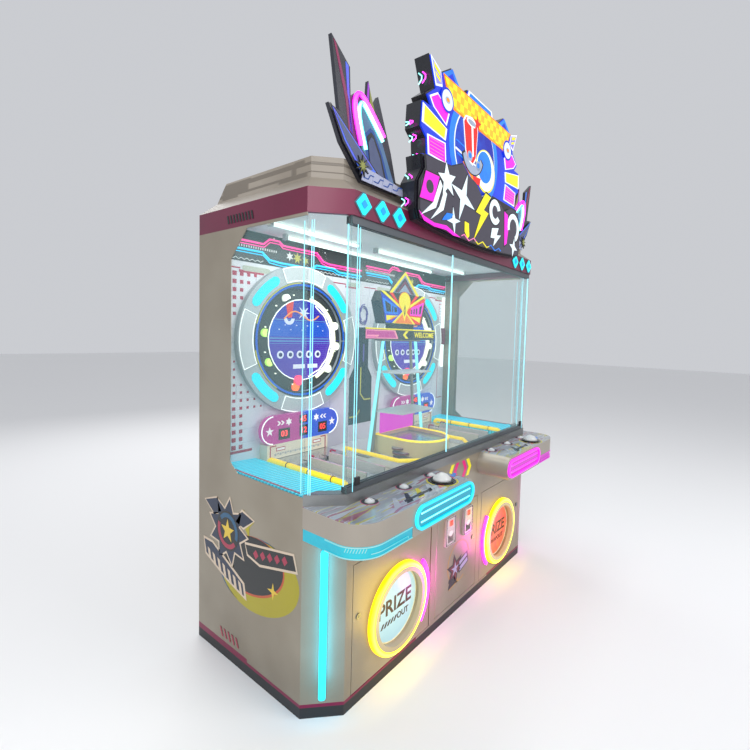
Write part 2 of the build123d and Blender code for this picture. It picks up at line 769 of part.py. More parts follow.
def playfield_parts():
    board = flat(plan(panel_sheet), frame_top, deck_top)
    board &= block(-half_width, half_width, door_back, half_depth, 0, deck_top)
    beds = []
    pushers = []
    for s in (-1, 1):
        x = s * station_x
        hole = block(x - 200, x + 200, bed_front - chute_length, bed_front - 5, frame_top - 1, deck_top + 1)
        board -= hole
        board -= upright(x, crank_y, frame_top - 1, deck_top + 1, pusher_stroke / 2 + 22)
        bed = block(x - pusher_half, x + pusher_half, bed_front, wall_y, deck_top, bed_top)
        bed -= upright(x, crank_y, deck_top - 1, bed_top + 1, pusher_stroke / 2 + 22)
        for k in (-0.5, 0.5):
            lane_x = x + k * lane_width
            bed += block(lane_x - lane_wall / 2, lane_x + lane_wall / 2, lane_wall_front, lane_wall_back,
                         deck_top + 1, bed_top + lane_wall_height)
        beds.append(bed.solid())
        low = bed_top + slide_gap
        pusher = block(x - pusher_half + 1, x + pusher_half - 1, pusher_front, pusher_front + pusher_length,
                       low, low + pusher_height)
        for k in (-0.5, 0.5):
            lane_x = x + k * lane_width
            pusher -= block(lane_x - lane_wall / 2 - 1, lane_x + lane_wall / 2 + 1, pusher_front - 1,
                            lane_wall_back + pusher_stroke + 3, low - 1, low + pusher_height + 1)
        pushers.append(pusher)
    save(board, "playfield_deck")
    save(Compound(children=beds), "pusher_beds")
    save(pushers[0], "pusher_left")
    save(pushers[1], "pusher_right")

    # crank under each pusher, on the shaft of a gearmotor below the deck
    disc_low = frame_top + 4
    disc_top = disc_low + 8
    motors = []
    for s, name in ((-1, "crank_left"), (1, "crank_right")):
        x = s * station_x
        crank = upright(x, crank_y, disc_low, disc_top, pusher_stroke / 2 + 10)
        crank += upright(x, crank_y + pusher_stroke / 2, disc_top - 1, bed_top - 1 + slide_gap, 6)
        crank -= upright(x, crank_y, disc_low - 1, disc_top + 1, 6 + running_gap)
        save(crank, name)
        motor = block(x - 60, x + 60, crank_y - 60, crank_y + 60, frame_top - 12, frame_top)
        motor += upright(x, crank_y, frame_top - 95, frame_top - 11, 42)
        motor += upright(x, crank_y, frame_top - 1, disc_low - slide_gap, 12)
        motor += upright(x, crank_y, frame_top, disc_top, 6)
        motors.append(motor.solid())
    save(Compound(children=motors), "gearmotors")

    # wall behind each station: coin wall over the pusher, score board on top
    walls = []
    boards = []
    for s in (-1, 1):
        x = s * station_x
        clear = bed_top + slide_gap + pusher_height + 2
        wall = block(x - pusher_half, x + pusher_half, coin_wall_y, coin_wall_y + 8, clear, coin_wall_top)
        for k in (-1, 1):
            xs = sorted((x + k * pusher_half, x + k * (pusher_half + 8)))
            wall += block(xs[0], xs[1], coin_wall_y, wall_y, deck_top, coin_wall_top)
        walls.append(wall.solid())
        bx = s * (display_x + 27)
        bz = board_bottom + board_height / 2
        plate = Plane(origin=(bx, coin_wall_y, bz), x_dir=(1, 0, 0), z_dir=(0, -1, 0))
        outline = RectangleRounded(2 * board_half, board_height, board_height / 2 - 4)
        board_solid = extrude(plate * outline, amount=-board_depth)
        neck = block(bx - 60, bx + 60, coin_wall_y + board_depth - 1, wall_y, bz - 30, bz + 30)
        boards.append((board_solid + neck).solid())
    save(Compound(children=walls), "coin_walls")
    save(Compound(children=boards), "jackpot_boards")

    inner = half_width - panel_sheet
    wall = block(-inner, inner, wall_y, wall_y + wall_sheet, deck_top, header_bottom)
    narrow = half_width - header_sheet
    wall += block(-narrow, narrow, wall_y, wall_y + wall_sheet, header_bottom, ceiling_z)
    save(wall, "playfield_wall")

    shelf_edge = station_x + pusher_half + pipe_gap + pipe_radius + 3
    x0 = -(half_width - panel_sheet - glass)
    x1 = -shelf_edge
    section = [(x0, 944), (x0, 950), (x1, 938), (x1, deck_top), (x1 - 3, deck_top), (x1 - 3, 932)]
    shelf = facing(section, front + 40, wall_y)
    keep = flat(plan(panel_sheet + glass + 6), deck_top, header_bottom)
    save(both((shelf & keep) - sill()), "side_shelves")


def tube_run(points, radius, bend):
    """Bent pipe along straight runs with rounded corners, standing on its two ends."""
    path = FilletPolyline(*points, radius=bend)
    start = Vector(*points[0])
    heading = Vector(*points[1]) - start
    return sweep(Plane(origin=start, z_dir=heading) * Circle(radius), path=path)


def pipe_parts():
    outer_x = -(station_x + pusher_half + pipe_gap)
    inner_x = -(station_x - pusher_half - pipe_gap)
    back = coin_wall_y - 30
    inner_back = pusher_front + 25
    outer_front = bed_front + 20
    inner_turn = bed_front + 75
    inner_front = bed_front - 30
    outer = tube_run([
        (outer_x, back, deck_top), (outer_x, back, pipe_z), (outer_x, outer_front, pipe_z),
        (outer_x, outer_front, deck_top),
    ], pipe_radius, pipe_radius * 1.6)
    inner = tube_run([
        (inner_x, inner_back, deck_top), (inner_x, inner_back, pipe_z), (inner_x, inner_turn, pipe_z),
        (inner_x + 110, inner_front, pipe_z), (inner_x + 110, inner_front, deck_top),
    ], pipe_radius * 0.8, pipe_radius * 1.5)
    save(both(Compound(children=[outer.solid(), inner.solid()])), "guard_pipes")


def display_parts():
    bezel = through(-display_x, display_z, wall_y - display_depth, wall_y, display_radius)
    bezel -= through(-display_x, display_z, wall_y - display_depth - 1, wall_y + 1, screen_radius)
    save(both(bezel), "display_bezels")
    screen = through(-display_x, display_z, wall_y - 14, wall_y, screen_radius - slide_gap)
    save(both(screen), "display_screens")


def shelf_outline(level, half_front, half_back, y_front):
    back = tower_y + 45
    return flat([(-half_front, y_front), (half_front, y_front), (half_back, back), (-half_back, back)],
                level, level + shelf_thickness)


def tower_parts():
    foot_z = deck_top + tower_foot
    legs = []
    clear = []
    for s in (-1, 1):
        for foot, head, y in (
            (outer_leg_foot, outer_leg_head, tower_y),
            (inner_leg_foot, inner_leg_head, tower_y + 25),
        ):
            start = (s * foot, y, foot_z - 2)
            end = (s * head, y, tower_top - 2)
            legs.append(bar(start, end, leg_radius))
            clear.append(bar(start, end, leg_radius + slide_gap))
    frame = block(-310, 310, tray_back + 5, tray_back + 25, deck_top, foot_z)
    frame += block(-310, -195, tower_y - 25, tray_back + 10, deck_top, foot_z)
    frame += block(195, 310, tower_y - 25, tray_back + 10, deck_top, foot_z)
    frame += block(-200, 200, tower_y - 15, tower_y + 45, tower_top - 10, tower_top)
    for leg in legs:
        frame += leg
    save(frame, "tower_frame")

    shelves = []
    for values in shelf_levels:
        shelf = shelf_outline(*values)
        for gap in clear:
            shelf -= gap
        shelves.append(shelf.solid())
    panel_y = tower_y + 12
    panel = block(-170, 170, panel_y - 8, panel_y - 4, tray_rim + 12, shelf_levels[0][0])
    for gap in clear:
        panel -= gap
    shelves.append(panel.solids().sort_by(SortBy.VOLUME)[-1])
    save(Compound(children=shelves), "tower_shelves")

    y0 = tower_y - 25
    band = block(-band_half, band_half, y0, y0 + 60, tower_top, tower_top + band_height)
    neck = block(-120, 120, y0 + 10, y0 + 50, tower_top + band_height - 1, sign_bottom + 1)
    shoulder = sign_shoulder - 60
    sign = facing(
        [(-sign_half + 45, sign_bottom), (sign_half - 45, sign_bottom), (sign_half, shoulder),
         (sign_half - 30, sign_shoulder), (70, sign_shoulder), (0, sign_apex), (-70, sign_shoulder),
         (-sign_half + 30, sign_shoulder), (-sign_half, shoulder)],
        y0, y0 + sign_depth,
    )
    save(band + neck + sign, "tower_sign")

    centre = tray_front + tray_half

    def d_shape(half, back, z0, z1):
        shape = block(-half, half, centre, back, z0, z1)
        return shape + upright(0, centre, z0, z1, half)

    tray = d_shape(tray_half, tray_back, deck_top, tray_rim)
    tray -= d_shape(tray_half - tray_wall, tray_back - tray_wall, tray_rim - tray_recess, tray_rim + 1)
    tray -= d_shape(tray_half - tray_skirt, tray_back - tray_skirt, deck_top - 1,
                    tray_rim - tray_recess - tray_skirt)
    for gap in clear:
        tray -= gap
    save(tray.solids().sort_by(SortBy.VOLUME)[-1], "prize_tray")


os.makedirs("parts", exist_ok=True)
base_parts()
casing_parts()
glazing_parts()
roof_parts()
marquee_parts()
console_parts()
prize_door_parts()
coin_door_parts()
inside_parts()
playfield_parts()
pipe_parts()
display_parts()
tower_parts()
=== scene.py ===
import math

import bpy
from mathutils import Matrix, Vector


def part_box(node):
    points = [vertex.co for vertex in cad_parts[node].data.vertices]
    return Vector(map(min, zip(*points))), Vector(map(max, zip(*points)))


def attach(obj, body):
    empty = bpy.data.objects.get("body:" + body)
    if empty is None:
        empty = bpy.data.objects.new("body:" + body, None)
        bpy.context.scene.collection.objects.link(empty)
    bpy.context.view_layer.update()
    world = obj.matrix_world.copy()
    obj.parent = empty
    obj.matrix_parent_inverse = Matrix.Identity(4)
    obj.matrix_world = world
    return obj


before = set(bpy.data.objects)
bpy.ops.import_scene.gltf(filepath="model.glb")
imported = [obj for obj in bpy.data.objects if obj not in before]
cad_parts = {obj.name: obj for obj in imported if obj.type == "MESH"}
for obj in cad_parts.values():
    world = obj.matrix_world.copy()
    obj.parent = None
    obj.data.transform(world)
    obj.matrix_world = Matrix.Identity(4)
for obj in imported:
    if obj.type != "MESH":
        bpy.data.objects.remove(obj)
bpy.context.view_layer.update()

# ---------- showroom
# The machine stands on a plain pale floor between three large soft boxes, with an even white
# surround. The camera stands in front of the left corner, at a standing person's eye height.
mm = 0.001
view_place = (-2205.6, -1732.9, 1624.1)
view_turn = math.radians(-53.03)
view_tilt = math.radians(90.0 - 3.405)
view_roll = math.radians(1.695)

bpy.ops.object.select_all(action="DESELECT")
bpy.ops.object.camera_add()
camera = bpy.context.object
camera.name = "view_camera"
camera.data.lens = 21.06
camera.data.sensor_width = 36.0
camera.data.shift_x = -0.0439
camera.data.shift_y = -0.0172
camera.data.clip_end = 200.0
stand = Matrix.Translation(Vector(view_place) * mm)
turn = Matrix.Rotation(view_turn, 4, "Z") @ Matrix.Rotation(view_tilt, 4, "X")
camera.matrix_world = stand @ turn @ Matrix.Rotation(view_roll, 4, "Z")
bpy.context.scene.camera = camera
bpy.context.scene.view_settings.view_transform = "Standard"


def soft_box(name, place, aim, size, power):
    """Square studio lamp hung at a place and turned towards a point."""
    bpy.ops.object.light_add(type="AREA", location=place)
    lamp = bpy.context.object
    lamp.name = name
    lamp.data.size = size
    lamp.data.energy = power
    lamp.rotation_euler = (Vector(aim) - Vector(place)).to_track_quat("-Z", "Y").to_euler()


soft_box("left_soft_box", (-5.5, -2.5, 4.2), (0.0, 0.0, 1.2), 3.5, 190.0)
soft_box("front_soft_box", (1.5, -6.0, 4.0), (0.0, 0.0, 1.2), 3.5, 165.0)
soft_box("rear_soft_box", (1.0, 5.0, 4.5), (0.0, 0.0, 1.2), 4.0, 120.0)

surround = bpy.data.worlds.new("white_surround")
bpy.context.scene.world = surround
surround.use_nodes = True
surround.node_tree.nodes["Background"].inputs["Color"].default_value = (0.93, 0.95, 1.0, 1.0)
surround.node_tree.nodes["Background"].inputs["Strength"].default_value = 0.64

bpy.ops.mesh.primitive_plane_add(size=60.0)
floor = bpy.context.object
floor.name = "showroom_floor"
floor_paint = bpy.data.materials.new("floor_paint")
floor_paint.use_nodes = True
floor_paint.node_tree.nodes["Principled BSDF"].inputs["Base Color"].default_value = (0.86, 0.86, 0.86,
                                                                                     1.0)
floor_paint.node_tree.nodes["Principled BSDF"].inputs["Roughness"].default_value = 0.7
floor.data.materials.append(floor_paint)


# ---------- sheet metal cabinet
# The side, corner, back and front panels are folded steel, powder coated in a taupe with a fine
# metal fleck. A maroon line runs along the bottom of the sides and front, above the plinth.
def shade(code):
    """Linear colour of a six-digit paint card code."""
    parts = [int(code[i:i + 2], 16) / 255 for i in (0, 2, 4)]
    return tuple(c / 12.92 if c <= 0.04045 else ((c + 0.055) / 1.055) ** 2.4 for c in parts) + (1.0,)


def add(tree, kind, inputs, **settings):
    """Put a node in a tree; plain values are set on its sockets and sockets are linked to them."""
    node = tree.nodes.new("ShaderNode" + kind)
    for key, value in settings.items():
        setattr(node, key, value)
    for key, value in inputs.items():
        if isinstance(value, bpy.types.NodeSocket):
            tree.links.new(value, node.inputs[key])
        else:
            node.inputs[key].default_value = value
    return node


def figure(tree, operation, first, second=0.0):
    """One sum on two values."""
    return add(tree, "Math", {0: first, 1: second}, operation=operation).outputs[0]


def times(tree, first, second):
    """Product of two values."""
    return figure(tree, "MULTIPLY", first, second)


def split(tree, place):
    """The three parts of a vector."""
    return add(tree, "SeparateXYZ", {0: place}).outputs


def mixed(tree, mask, first, second):
    """Colour that goes from the first to the second as a mask goes from 0 to 1."""
    return add(tree, "Mix", {0: mask, 6: first, 7: second}, data_type="RGBA").outputs[2]


def ranged(tree, value, low, high, to_low=0.0, to_high=1.0):
    """A value stretched from one range to another and held inside it."""
    return add(tree, "MapRange", {0: value, 1: low, 2: high, 3: to_low, 4: to_high}).outputs[0]


def feed(shader, socket, value):
    """Set a shader socket to a plain value, or link it."""
    if isinstance(value, bpy.types.NodeSocket):
        shader.id_data.links.new(value, shader.inputs[socket])
    else:
        shader.inputs[socket].default_value = value


def make_wear_group():
    """Grain, soft clouds and thin scratches, shared by the machine's hard surfaces."""
    group = bpy.data.node_groups.new("surface_wear", "ShaderNodeTree")
    sockets = group.interface
    sockets.new_socket("Place", in_out="INPUT", socket_type="NodeSocketVector")
    sockets.new_socket("Grain", in_out="INPUT", socket_type="NodeSocketFloat")
    for name in ("Fleck", "Cloud", "Scratch"):
        sockets.new_socket(name, in_out="OUTPUT", socket_type="NodeSocketFloat")
    entry = group.nodes.new("NodeGroupInput")
    leave = group.nodes.new("NodeGroupOutput")
    fleck = add(group, "TexNoise", {"Vector": entry.outputs["Place"], "Scale": entry.outputs["Grain"]})
    cloud = add(group, "TexNoise", {"Vector": entry.outputs["Place"], "Scale": 2.2, "Detail": 3.0})
    stretch = add(group, "Mapping", {"Vector": entry.outputs["Place"], "Scale": (9.0, 9.0, 90.0),
                                     "Rotation": (0.5, 0.35, 0.2)})
    streak = add(group, "TexNoise", {"Vector": stretch.outputs[0], "Scale": 4.0, "Detail": 4.0})
    group.links.new(fleck.outputs[0], leave.inputs["Fleck"])
    group.links.new(ranged(group, cloud.outputs[0], 0.35, 0.65), leave.inputs["Cloud"])
    group.links.new(ranged(group, streak.outputs[0], 0.66, 0.72), leave.inputs["Scratch"])
    return group


wear_group = make_wear_group()


def new_finish(name, grain=700.0):
    """Start a material; returns it with its tree, shader, place on the part and wear masks."""
    finish = bpy.data.materials.new(name)
    finish.use_nodes = True
    tree = finish.node_tree
    shader = tree.nodes["Principled BSDF"]
    place = add(tree, "TexCoord", {}).outputs["Object"]
    wear = tree.nodes.new("ShaderNodeGroup")
    wear.node_tree = wear_group
    tree.links.new(place, wear.inputs["Place"])
    wear.inputs["Grain"].default_value = grain
    return finish, tree, shader, place, wear.outputs


def set_surface(tree, shader, wear, colour, drift, gloss, metal=0.0, relief=0.06, coat=0.0):
    """Colour that drifts in clouds, gloss broken by grain and scratches, and a fine relief."""
    flecked = mixed(tree, ranged(tree, wear["Fleck"], 0.35, 0.65), colour, drift)
    feed(shader, "Base Color", mixed(tree, wear["Cloud"], colour, flecked))
    dull = times(tree, wear["Scratch"], 0.16)
    soft = ranged(tree, wear["Fleck"], 0.3, 0.7, gloss * 0.9, gloss * 1.15)
    feed(shader, "Roughness", figure(tree, "ADD", soft, dull))
    feed(shader, "Metallic", metal)
    feed(shader, "Coat Weight", coat)
    feed(shader, "Coat Roughness", 0.12)
    bump = add(tree, "Bump", {"Strength": relief, "Distance": 0.0006, "Height": wear["Fleck"]})
    feed(shader, "Normal", bump.outputs[0])


def coated(name, colour, drift, gloss, metal=0.0, grain=700.0, relief=0.06, coat=0.0):
    """Paint, plastic or bare metal."""
    finish, tree, shader, place, wear = new_finish(name, grain)
    set_surface(tree, shader, wear, shade(colour), shade(drift), gloss, metal, relief, coat)
    return finish


def dress(finish, *nodes):
    """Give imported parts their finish."""
    for node in nodes:
        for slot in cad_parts[node].material_slots:
            slot.material = finish


def panel_finish():
    """Taupe powder coat with the maroon line along its foot, darker in clouds towards the floor."""
    finish, tree, shader, place, wear = new_finish("taupe_powder_coat", 1400.0)
    x, y, z = split(tree, place)
    taupe = mixed(tree, wear["Cloud"], shade("989081"), shade("8A8172"))
    fleck = times(tree, ranged(tree, wear["Fleck"], 0.58, 0.75), 0.5)
    taupe = mixed(tree, fleck, taupe, shade("B5AC9E"))
    # Darker towards the bottom, in clouds, over the lowest half metre.
    darker_towards_floor = ranged(tree, z, 0.05, 0.5, 0.22, 0.0)
    taupe = mixed(tree, times(tree, darker_towards_floor, wear["Cloud"]), taupe, shade("5E574D"))
    back = ranged(tree, y, 0.034, 0.038)
    top = ranged(tree, back, 0.0, 1.0, 0.062, 0.077)
    line = figure(tree, "LESS_THAN", z, top)
    wide = figure(tree, "GREATER_THAN", figure(tree, "ABSOLUTE", x), 0.40)
    line = times(tree, line, wide)
    feed(shader, "Base Color", mixed(tree, line, taupe, shade("7A1740")))
    feed(shader, "Roughness", ranged(tree, wear["Scratch"], 0.0, 1.0, 0.34, 0.46))
    feed(shader, "Metallic", 0.35)
    bump = add(tree, "Bump", {"Strength": 0.12, "Distance": 0.0004, "Height": wear["Fleck"]})
    feed(shader, "Normal", bump.outputs[0])
    return finish


dress(panel_finish(), "side_panels", "front_fascia", "prize_door_left", "prize_door_right", "coin_door")
dress(coated("taupe_back", "9A9182", "8A8173", 0.42, 0.3), "back_panel")
dress(coated("black_plinth", "15161A", "22242A", 0.45), "plinth")
dress(coated("base_plywood", "8C7350", "6F5939", 0.7, grain=180.0, relief=0.2), "base_board")
dress(coated("frame_steel", "55585C", "44474B", 0.42, 0.8), "base_frame")
dress(coated("sill_metal", "8F9191", "7E8182", 0.3, 0.75), "sill_ledge")
dress(coated("track_plastic", "555A5F", "484D52", 0.35, 0.3), "glass_tracks")


# ---------- glass house
# Clear float glass on three sides. The two front panes slide past each other in the tracks, and
# every ground edge carries the light of the ceiling as a bright pale cyan line.
def clear_glass():
    """Glass that only shows by its tint and its shine at a flat angle."""
    glass, tree, shader, place, wear = new_finish("clear_float_glass", 60.0)
    slant = add(tree, "LayerWeight", {"Blend": 0.35}).outputs["Fresnel"]
    smear = times(tree, wear["Cloud"], 0.02)
    body = figure(tree, "ADD", ranged(tree, slant, 0.05, 0.9, 0.02, 0.26), smear)
    feed(shader, "Alpha", body)
    feed(shader, "Base Color", shade("8FB4B6"))
    feed(shader, "Roughness", 0.03)
    feed(shader, "IOR", 1.45)
    return glass


dress(clear_glass(), "fixed_glass", "glass_pane_left", "glass_pane_right")


def lit(name, core, rim, strength):
    """Glowing tube, paler where it is looked at straight on than at its edges."""
    glow, tree, shader, place, wear = new_finish(name, 40.0)
    slant = add(tree, "LayerWeight", {"Blend": 0.5}).outputs["Facing"]
    spots = times(tree, wear["Fleck"], 0.25)
    edge = ranged(tree, figure(tree, "ADD", slant, spots), 0.25, 0.8)
    feed(shader, "Emission Color", mixed(tree, edge, shade(core), shade(rim)))
    feed(shader, "Emission Strength", strength)
    feed(shader, "Base Color", shade(rim))
    feed(shader, "Roughness", 0.35)
    return glow


def sit(piece, finish, body="cabinet"):
    """Apply a finished piece's place, give it its finish and hang it on its body."""
    if piece.matrix_basis != Matrix.Identity(4):
        bpy.ops.object.select_all(action="DESELECT")
        piece.select_set(True)
        bpy.context.view_layer.objects.active = piece
        bpy.ops.object.transform_apply(location=True, rotation=True, scale=True)
    piece.data.materials.clear()
    piece.data.materials.append(finish)
    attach(piece, body)
    return piece


def rounded_bar(name, low, high, round_off, finish, body="cabinet"):
    """Straight bar or block between two corners in mm, with its edges broken by a bevel."""
    bpy.ops.object.select_all(action="DESELECT")
    middle = (Vector(low) + Vector(high)) / 2 * mm
    bpy.ops.mesh.primitive_cube_add(size=1.0, location=middle)
    piece = bpy.context.object
    piece.name = name
    piece.scale = (Vector(high) - Vector(low)) * mm
    bpy.ops.object.transform_apply(location=True, rotation=True, scale=True)
    bevel = piece.modifiers.new("broken_edges", "BEVEL")
    bevel.width = round_off * mm
    bevel.segments = 2
    bpy.ops.object.modifier_apply(modifier=bevel.name)
    return sit(piece, finish, body)


glass_edge = lit("lit_glass_edge", "D2FBFF", "58C8DC", 0.8)
edge_clamp = coated("edge_clamp", "2B2A2C", "3A393C", 0.35, 0.5)
for side, body in (("left", "pane_left"), ("right", "pane_right")):
    low, high = (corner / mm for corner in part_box("glass_pane_" + side))
    for end, x in (("outer", low.x), ("inner", high.x)):
        rounded_bar("pane_edge_" + side + "_" + end, (x - 1.5, low.y - 0.4, low.z + 13),
                    (x + 1.5, high.y + 0.4, high.z - 22), 0.8, glass_edge, body)
for s in (-1, 1):
    for number, (x, y) in enumerate(((1046, -327), (1041, -366), (1037, -374), (894, -474),
                                     (857, -452))):
        low, high = sorted((s * x - 1.5, s * x + 1.5))
        rounded_bar("house_edge_" + str(number), (low, y - 1.5, 964), (high, y + 1.5, 2069), 0.7,
                    glass_edge)
    lock_x = s * 866.0
    rounded_bar("glass_clamp", (lock_x - 14, -479, 986), (lock_x + 14, -467, 1022), 3.0, edge_clamp)


# ---------- header and roof
# A maroon painted steel band closes the top of the glass house. The roof on it is a vacuum formed
# light taupe cover with a raised plateau and pressed ribs; the ceiling under it is white board.
def between(tree, value, low, high):
    """Mask that is 1 where a value lies between two limits."""
    above = figure(tree, "GREATER_THAN", value, low)
    return times(tree, above, figure(tree, "LESS_THAN", value, high))


def roof_finish():
    """Taupe plastic with long pressed steps that run level around its slopes; the step lines also carry
    painted shade in their creases.
    """
    finish, tree, shader, place, wear = new_finish("roof_plastic", 900.0)
    x, y, z = split(tree, place)
    stretch = add(tree, "Mapping", {"Vector": place, "Scale": (2.2, 2.2, 26.0),
                                    "Location": (0.3, 0.1, 0.4)})
    cells = add(tree, "TexVoronoi", {"Vector": stretch.outputs[0], "Scale": 1.0, "Randomness": 0.35},
                distance="CHEBYCHEV")
    step = ranged(tree, cells.outputs["Distance"], 0.33, 0.36)
    slope = between(tree, z, 2.262, 2.332)
    step_relief_and_shade = times(tree, step, slope)
    tone = mixed(tree, wear["Cloud"], shade("9A9185"), shade("8A8175"))
    # Painted shade: the step lines are darkened in colour as if shade lay in their creases.
    tone = mixed(tree, times(tree, step_relief_and_shade, 0.75), tone, shade("645C52"))
    feed(shader, "Base Color", tone)
    feed(shader, "Roughness", ranged(tree, wear["Scratch"], 0.0, 1.0, 0.38, 0.55))
    bump = add(tree, "Bump", {"Strength": 0.6, "Distance": 0.004, "Height": step_relief_and_shade})
    feed(shader, "Normal", bump.outputs[0])
    return finish


dress(coated("maroon_header", "6C1439", "5A0F2E", 0.34, 0.2, coat=0.2), "header_band")
dress(roof_finish(), "roof_cover")
dress(coated("ceiling_board", "F2F4F2", "E3E7E6", 0.5), "ceiling_panel")


def cut_sheets(name, outlines, view, near, far, finish, body="cabinet"):
    """Flat sheets cut to outlines in mm, seen from the front, side or top, from near to far."""
    place = {
        "front": lambda u, v, depth: Vector((u, depth, v)),
        "side": lambda u, v, depth: Vector((depth, u, v)),
        "top": lambda u, v, depth: Vector((u, v, depth)),
    }[view]
    bpy.ops.object.select_all(action="DESELECT")
    bpy.ops.mesh.primitive_circle_add(vertices=len(outlines[0]), fill_type="NGON")
    sheet = bpy.context.object
    sheet.name = name
    if len(outlines) > 1:
        bpy.ops.object.mode_set(mode="EDIT")
        for outline in outlines[1:]:
            bpy.ops.mesh.primitive_circle_add(vertices=len(outline), fill_type="NGON")
        bpy.ops.object.mode_set(mode="OBJECT")
    corners = [corner for outline in outlines for corner in outline]
    for vertex, (u, v) in zip(sheet.data.vertices, corners):
        vertex.co = place(u, v, near) * mm
    shift = (place(0, 0, far) - place(0, 0, near)) * mm
    bpy.ops.object.mode_set(mode="EDIT")
    bpy.ops.mesh.select_all(action="SELECT")
    bpy.ops.mesh.extrude_region_move(TRANSFORM_OT_translate={"value": shift})
    bpy.ops.mesh.select_all(action="SELECT")
    bpy.ops.mesh.normals_make_consistent(inside=False)
    bpy.ops.object.mode_set(mode="OBJECT")
    return sit(sheet, finish, body)


def cut_sheet(name, outline, view, near, far, finish, body="cabinet"):
    """One flat sheet cut to an outline."""
    return cut_sheets(name, [outline], view, near, far, finish, body)


def backlit(name, colour, drift, strength):
    """Printed film lit from behind, a little uneven where the lamps sit."""
    film, tree, shader, place, wear = new_finish(name, 26.0)
    lamps = times(tree, wear["Fleck"], wear["Cloud"])
    glow = mixed(tree, ranged(tree, lamps, 0.1, 0.6), shade(colour), shade(drift))
    feed(shader, "Emission Color", glow)
    feed(shader, "Emission Strength", strength)
    feed(shader, "Base Color", tuple(0.25 * part for part in shade(colour)[:3]) + (1.0,))
    feed(shader, "Roughness", 0.3)
    return film


diamond_light = backlit("diamond_light", "06E4F5", "35F4FF", 1.1)
diamond_core = backlit("diamond_core", "0A9BEA", "22C4F4", 1.0)
diamond_rim = coated("diamond_rim", "4C6C78", "3C5A66", 0.35)
diamond_middle = 2152.0
band_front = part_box("header_band")[0].y / mm
for s in (-1, 1):
    for step in range(3):
        x = s * (872.0 - 117.0 * step)
        for layer, (half, high, finish) in enumerate(((52, 49, diamond_rim), (45, 42, diamond_light),
                                                      (18, 17, diamond_core))):
            outline = [(x - half, diamond_middle), (x - half * 0.14, diamond_middle + high),
                       (x + half * 0.14, diamond_middle + high), (x + half, diamond_middle),
                       (x + half * 0.14, diamond_middle - high),
                       (x - half * 0.14, diamond_middle - high)]
            cut_sheet("header_diamond", outline, "front", band_front - 4 - 3 * layer,
                      band_front - 3 * layer, finish)


# ---------- roof wings
# Each wing is a black cut acrylic plate with printed blades on it, two neon arches, and a small
# silver base plate screwed to its foot. The right wing is the left one turned over.
def bent_tube(name, points, radius, finish, body="cabinet", smooth=False, closed=False):
    """Round tube bent along a line of points in mm."""
    bpy.ops.object.select_all(action="DESELECT")
    bpy.ops.curve.primitive_nurbs_path_add()
    tube = bpy.context.object
    tube.name = name
    curve = tube.data
    curve.splines.clear()
    line = curve.splines.new("NURBS" if smooth else "POLY")
    line.points.add(len(points) - 1)
    for spot, point in zip(line.points, points):
        spot.co = (*(Vector(point) * mm), 1.0)
    line.use_cyclic_u = closed
    if smooth:
        line.order_u = 3
        line.use_endpoint_u = not closed
        line.resolution_u = 5
    curve.bevel_depth = radius * mm
    curve.bevel_resolution = 2
    curve.use_fill_caps = not closed
    bpy.ops.object.convert(target="MESH")
    return sit(bpy.context.object, finish, body)


def burst(u, v, reach, waist, tips, lean=90.0):
    """Star outline with its tips spread evenly."""
    points = []
    for step in range(2 * tips):
        angle = math.radians(lean + 180.0 * step / tips)
        size = reach if step % 2 == 0 else waist
        points.append((u + size * math.cos(angle), v + size * math.sin(angle)))
    return points


def sized(outline, factor):
    """Outline scaled about its middle."""
    u = sum(point[0] for point in outline) / len(outline)
    v = sum(point[1] for point in outline) / len(outline)
    return [(u + (a - u) * factor, v + (b - v) * factor) for a, b in outline]


dress(coated("wing_black", "1B1D26", "2A2C38", 0.35, coat=0.3), "roof_wings")
wing_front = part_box("roof_wings")[0].y / mm
wing_maroon = backlit("wing_maroon", "A8345F", "7D2C6E", 0.55)
wing_blue = backlit("wing_blue", "3D7BEF", "7A4DF0", 0.8)
wing_lavender = backlit("wing_lavender", "66739F", "535F8C", 0.35)
wing_slate = backlit("wing_slate", "5B7FA8", "46688F", 0.7)
wing_deep_blue = backlit("wing_deep_blue", "1D4FA3", "173E86", 0.7)
wing_violet = backlit("wing_violet", "B63BE0", "8A2FC4", 0.8)
wing_olive = backlit("wing_olive", "A9AE55", "8B8F45", 0.5)
wing_ink = coated("wing_ink", "0D0E14", "171922", 0.4)
wing_silver = coated("wing_silver", "A9AEC6", "8D93AE", 0.35, 0.3)
neon_magenta = lit("neon_magenta", "FF5CF6", "FF00E0", 2.2)
neon_ice = lit("neon_ice", "E8FFFF", "10EFE0", 1.5)
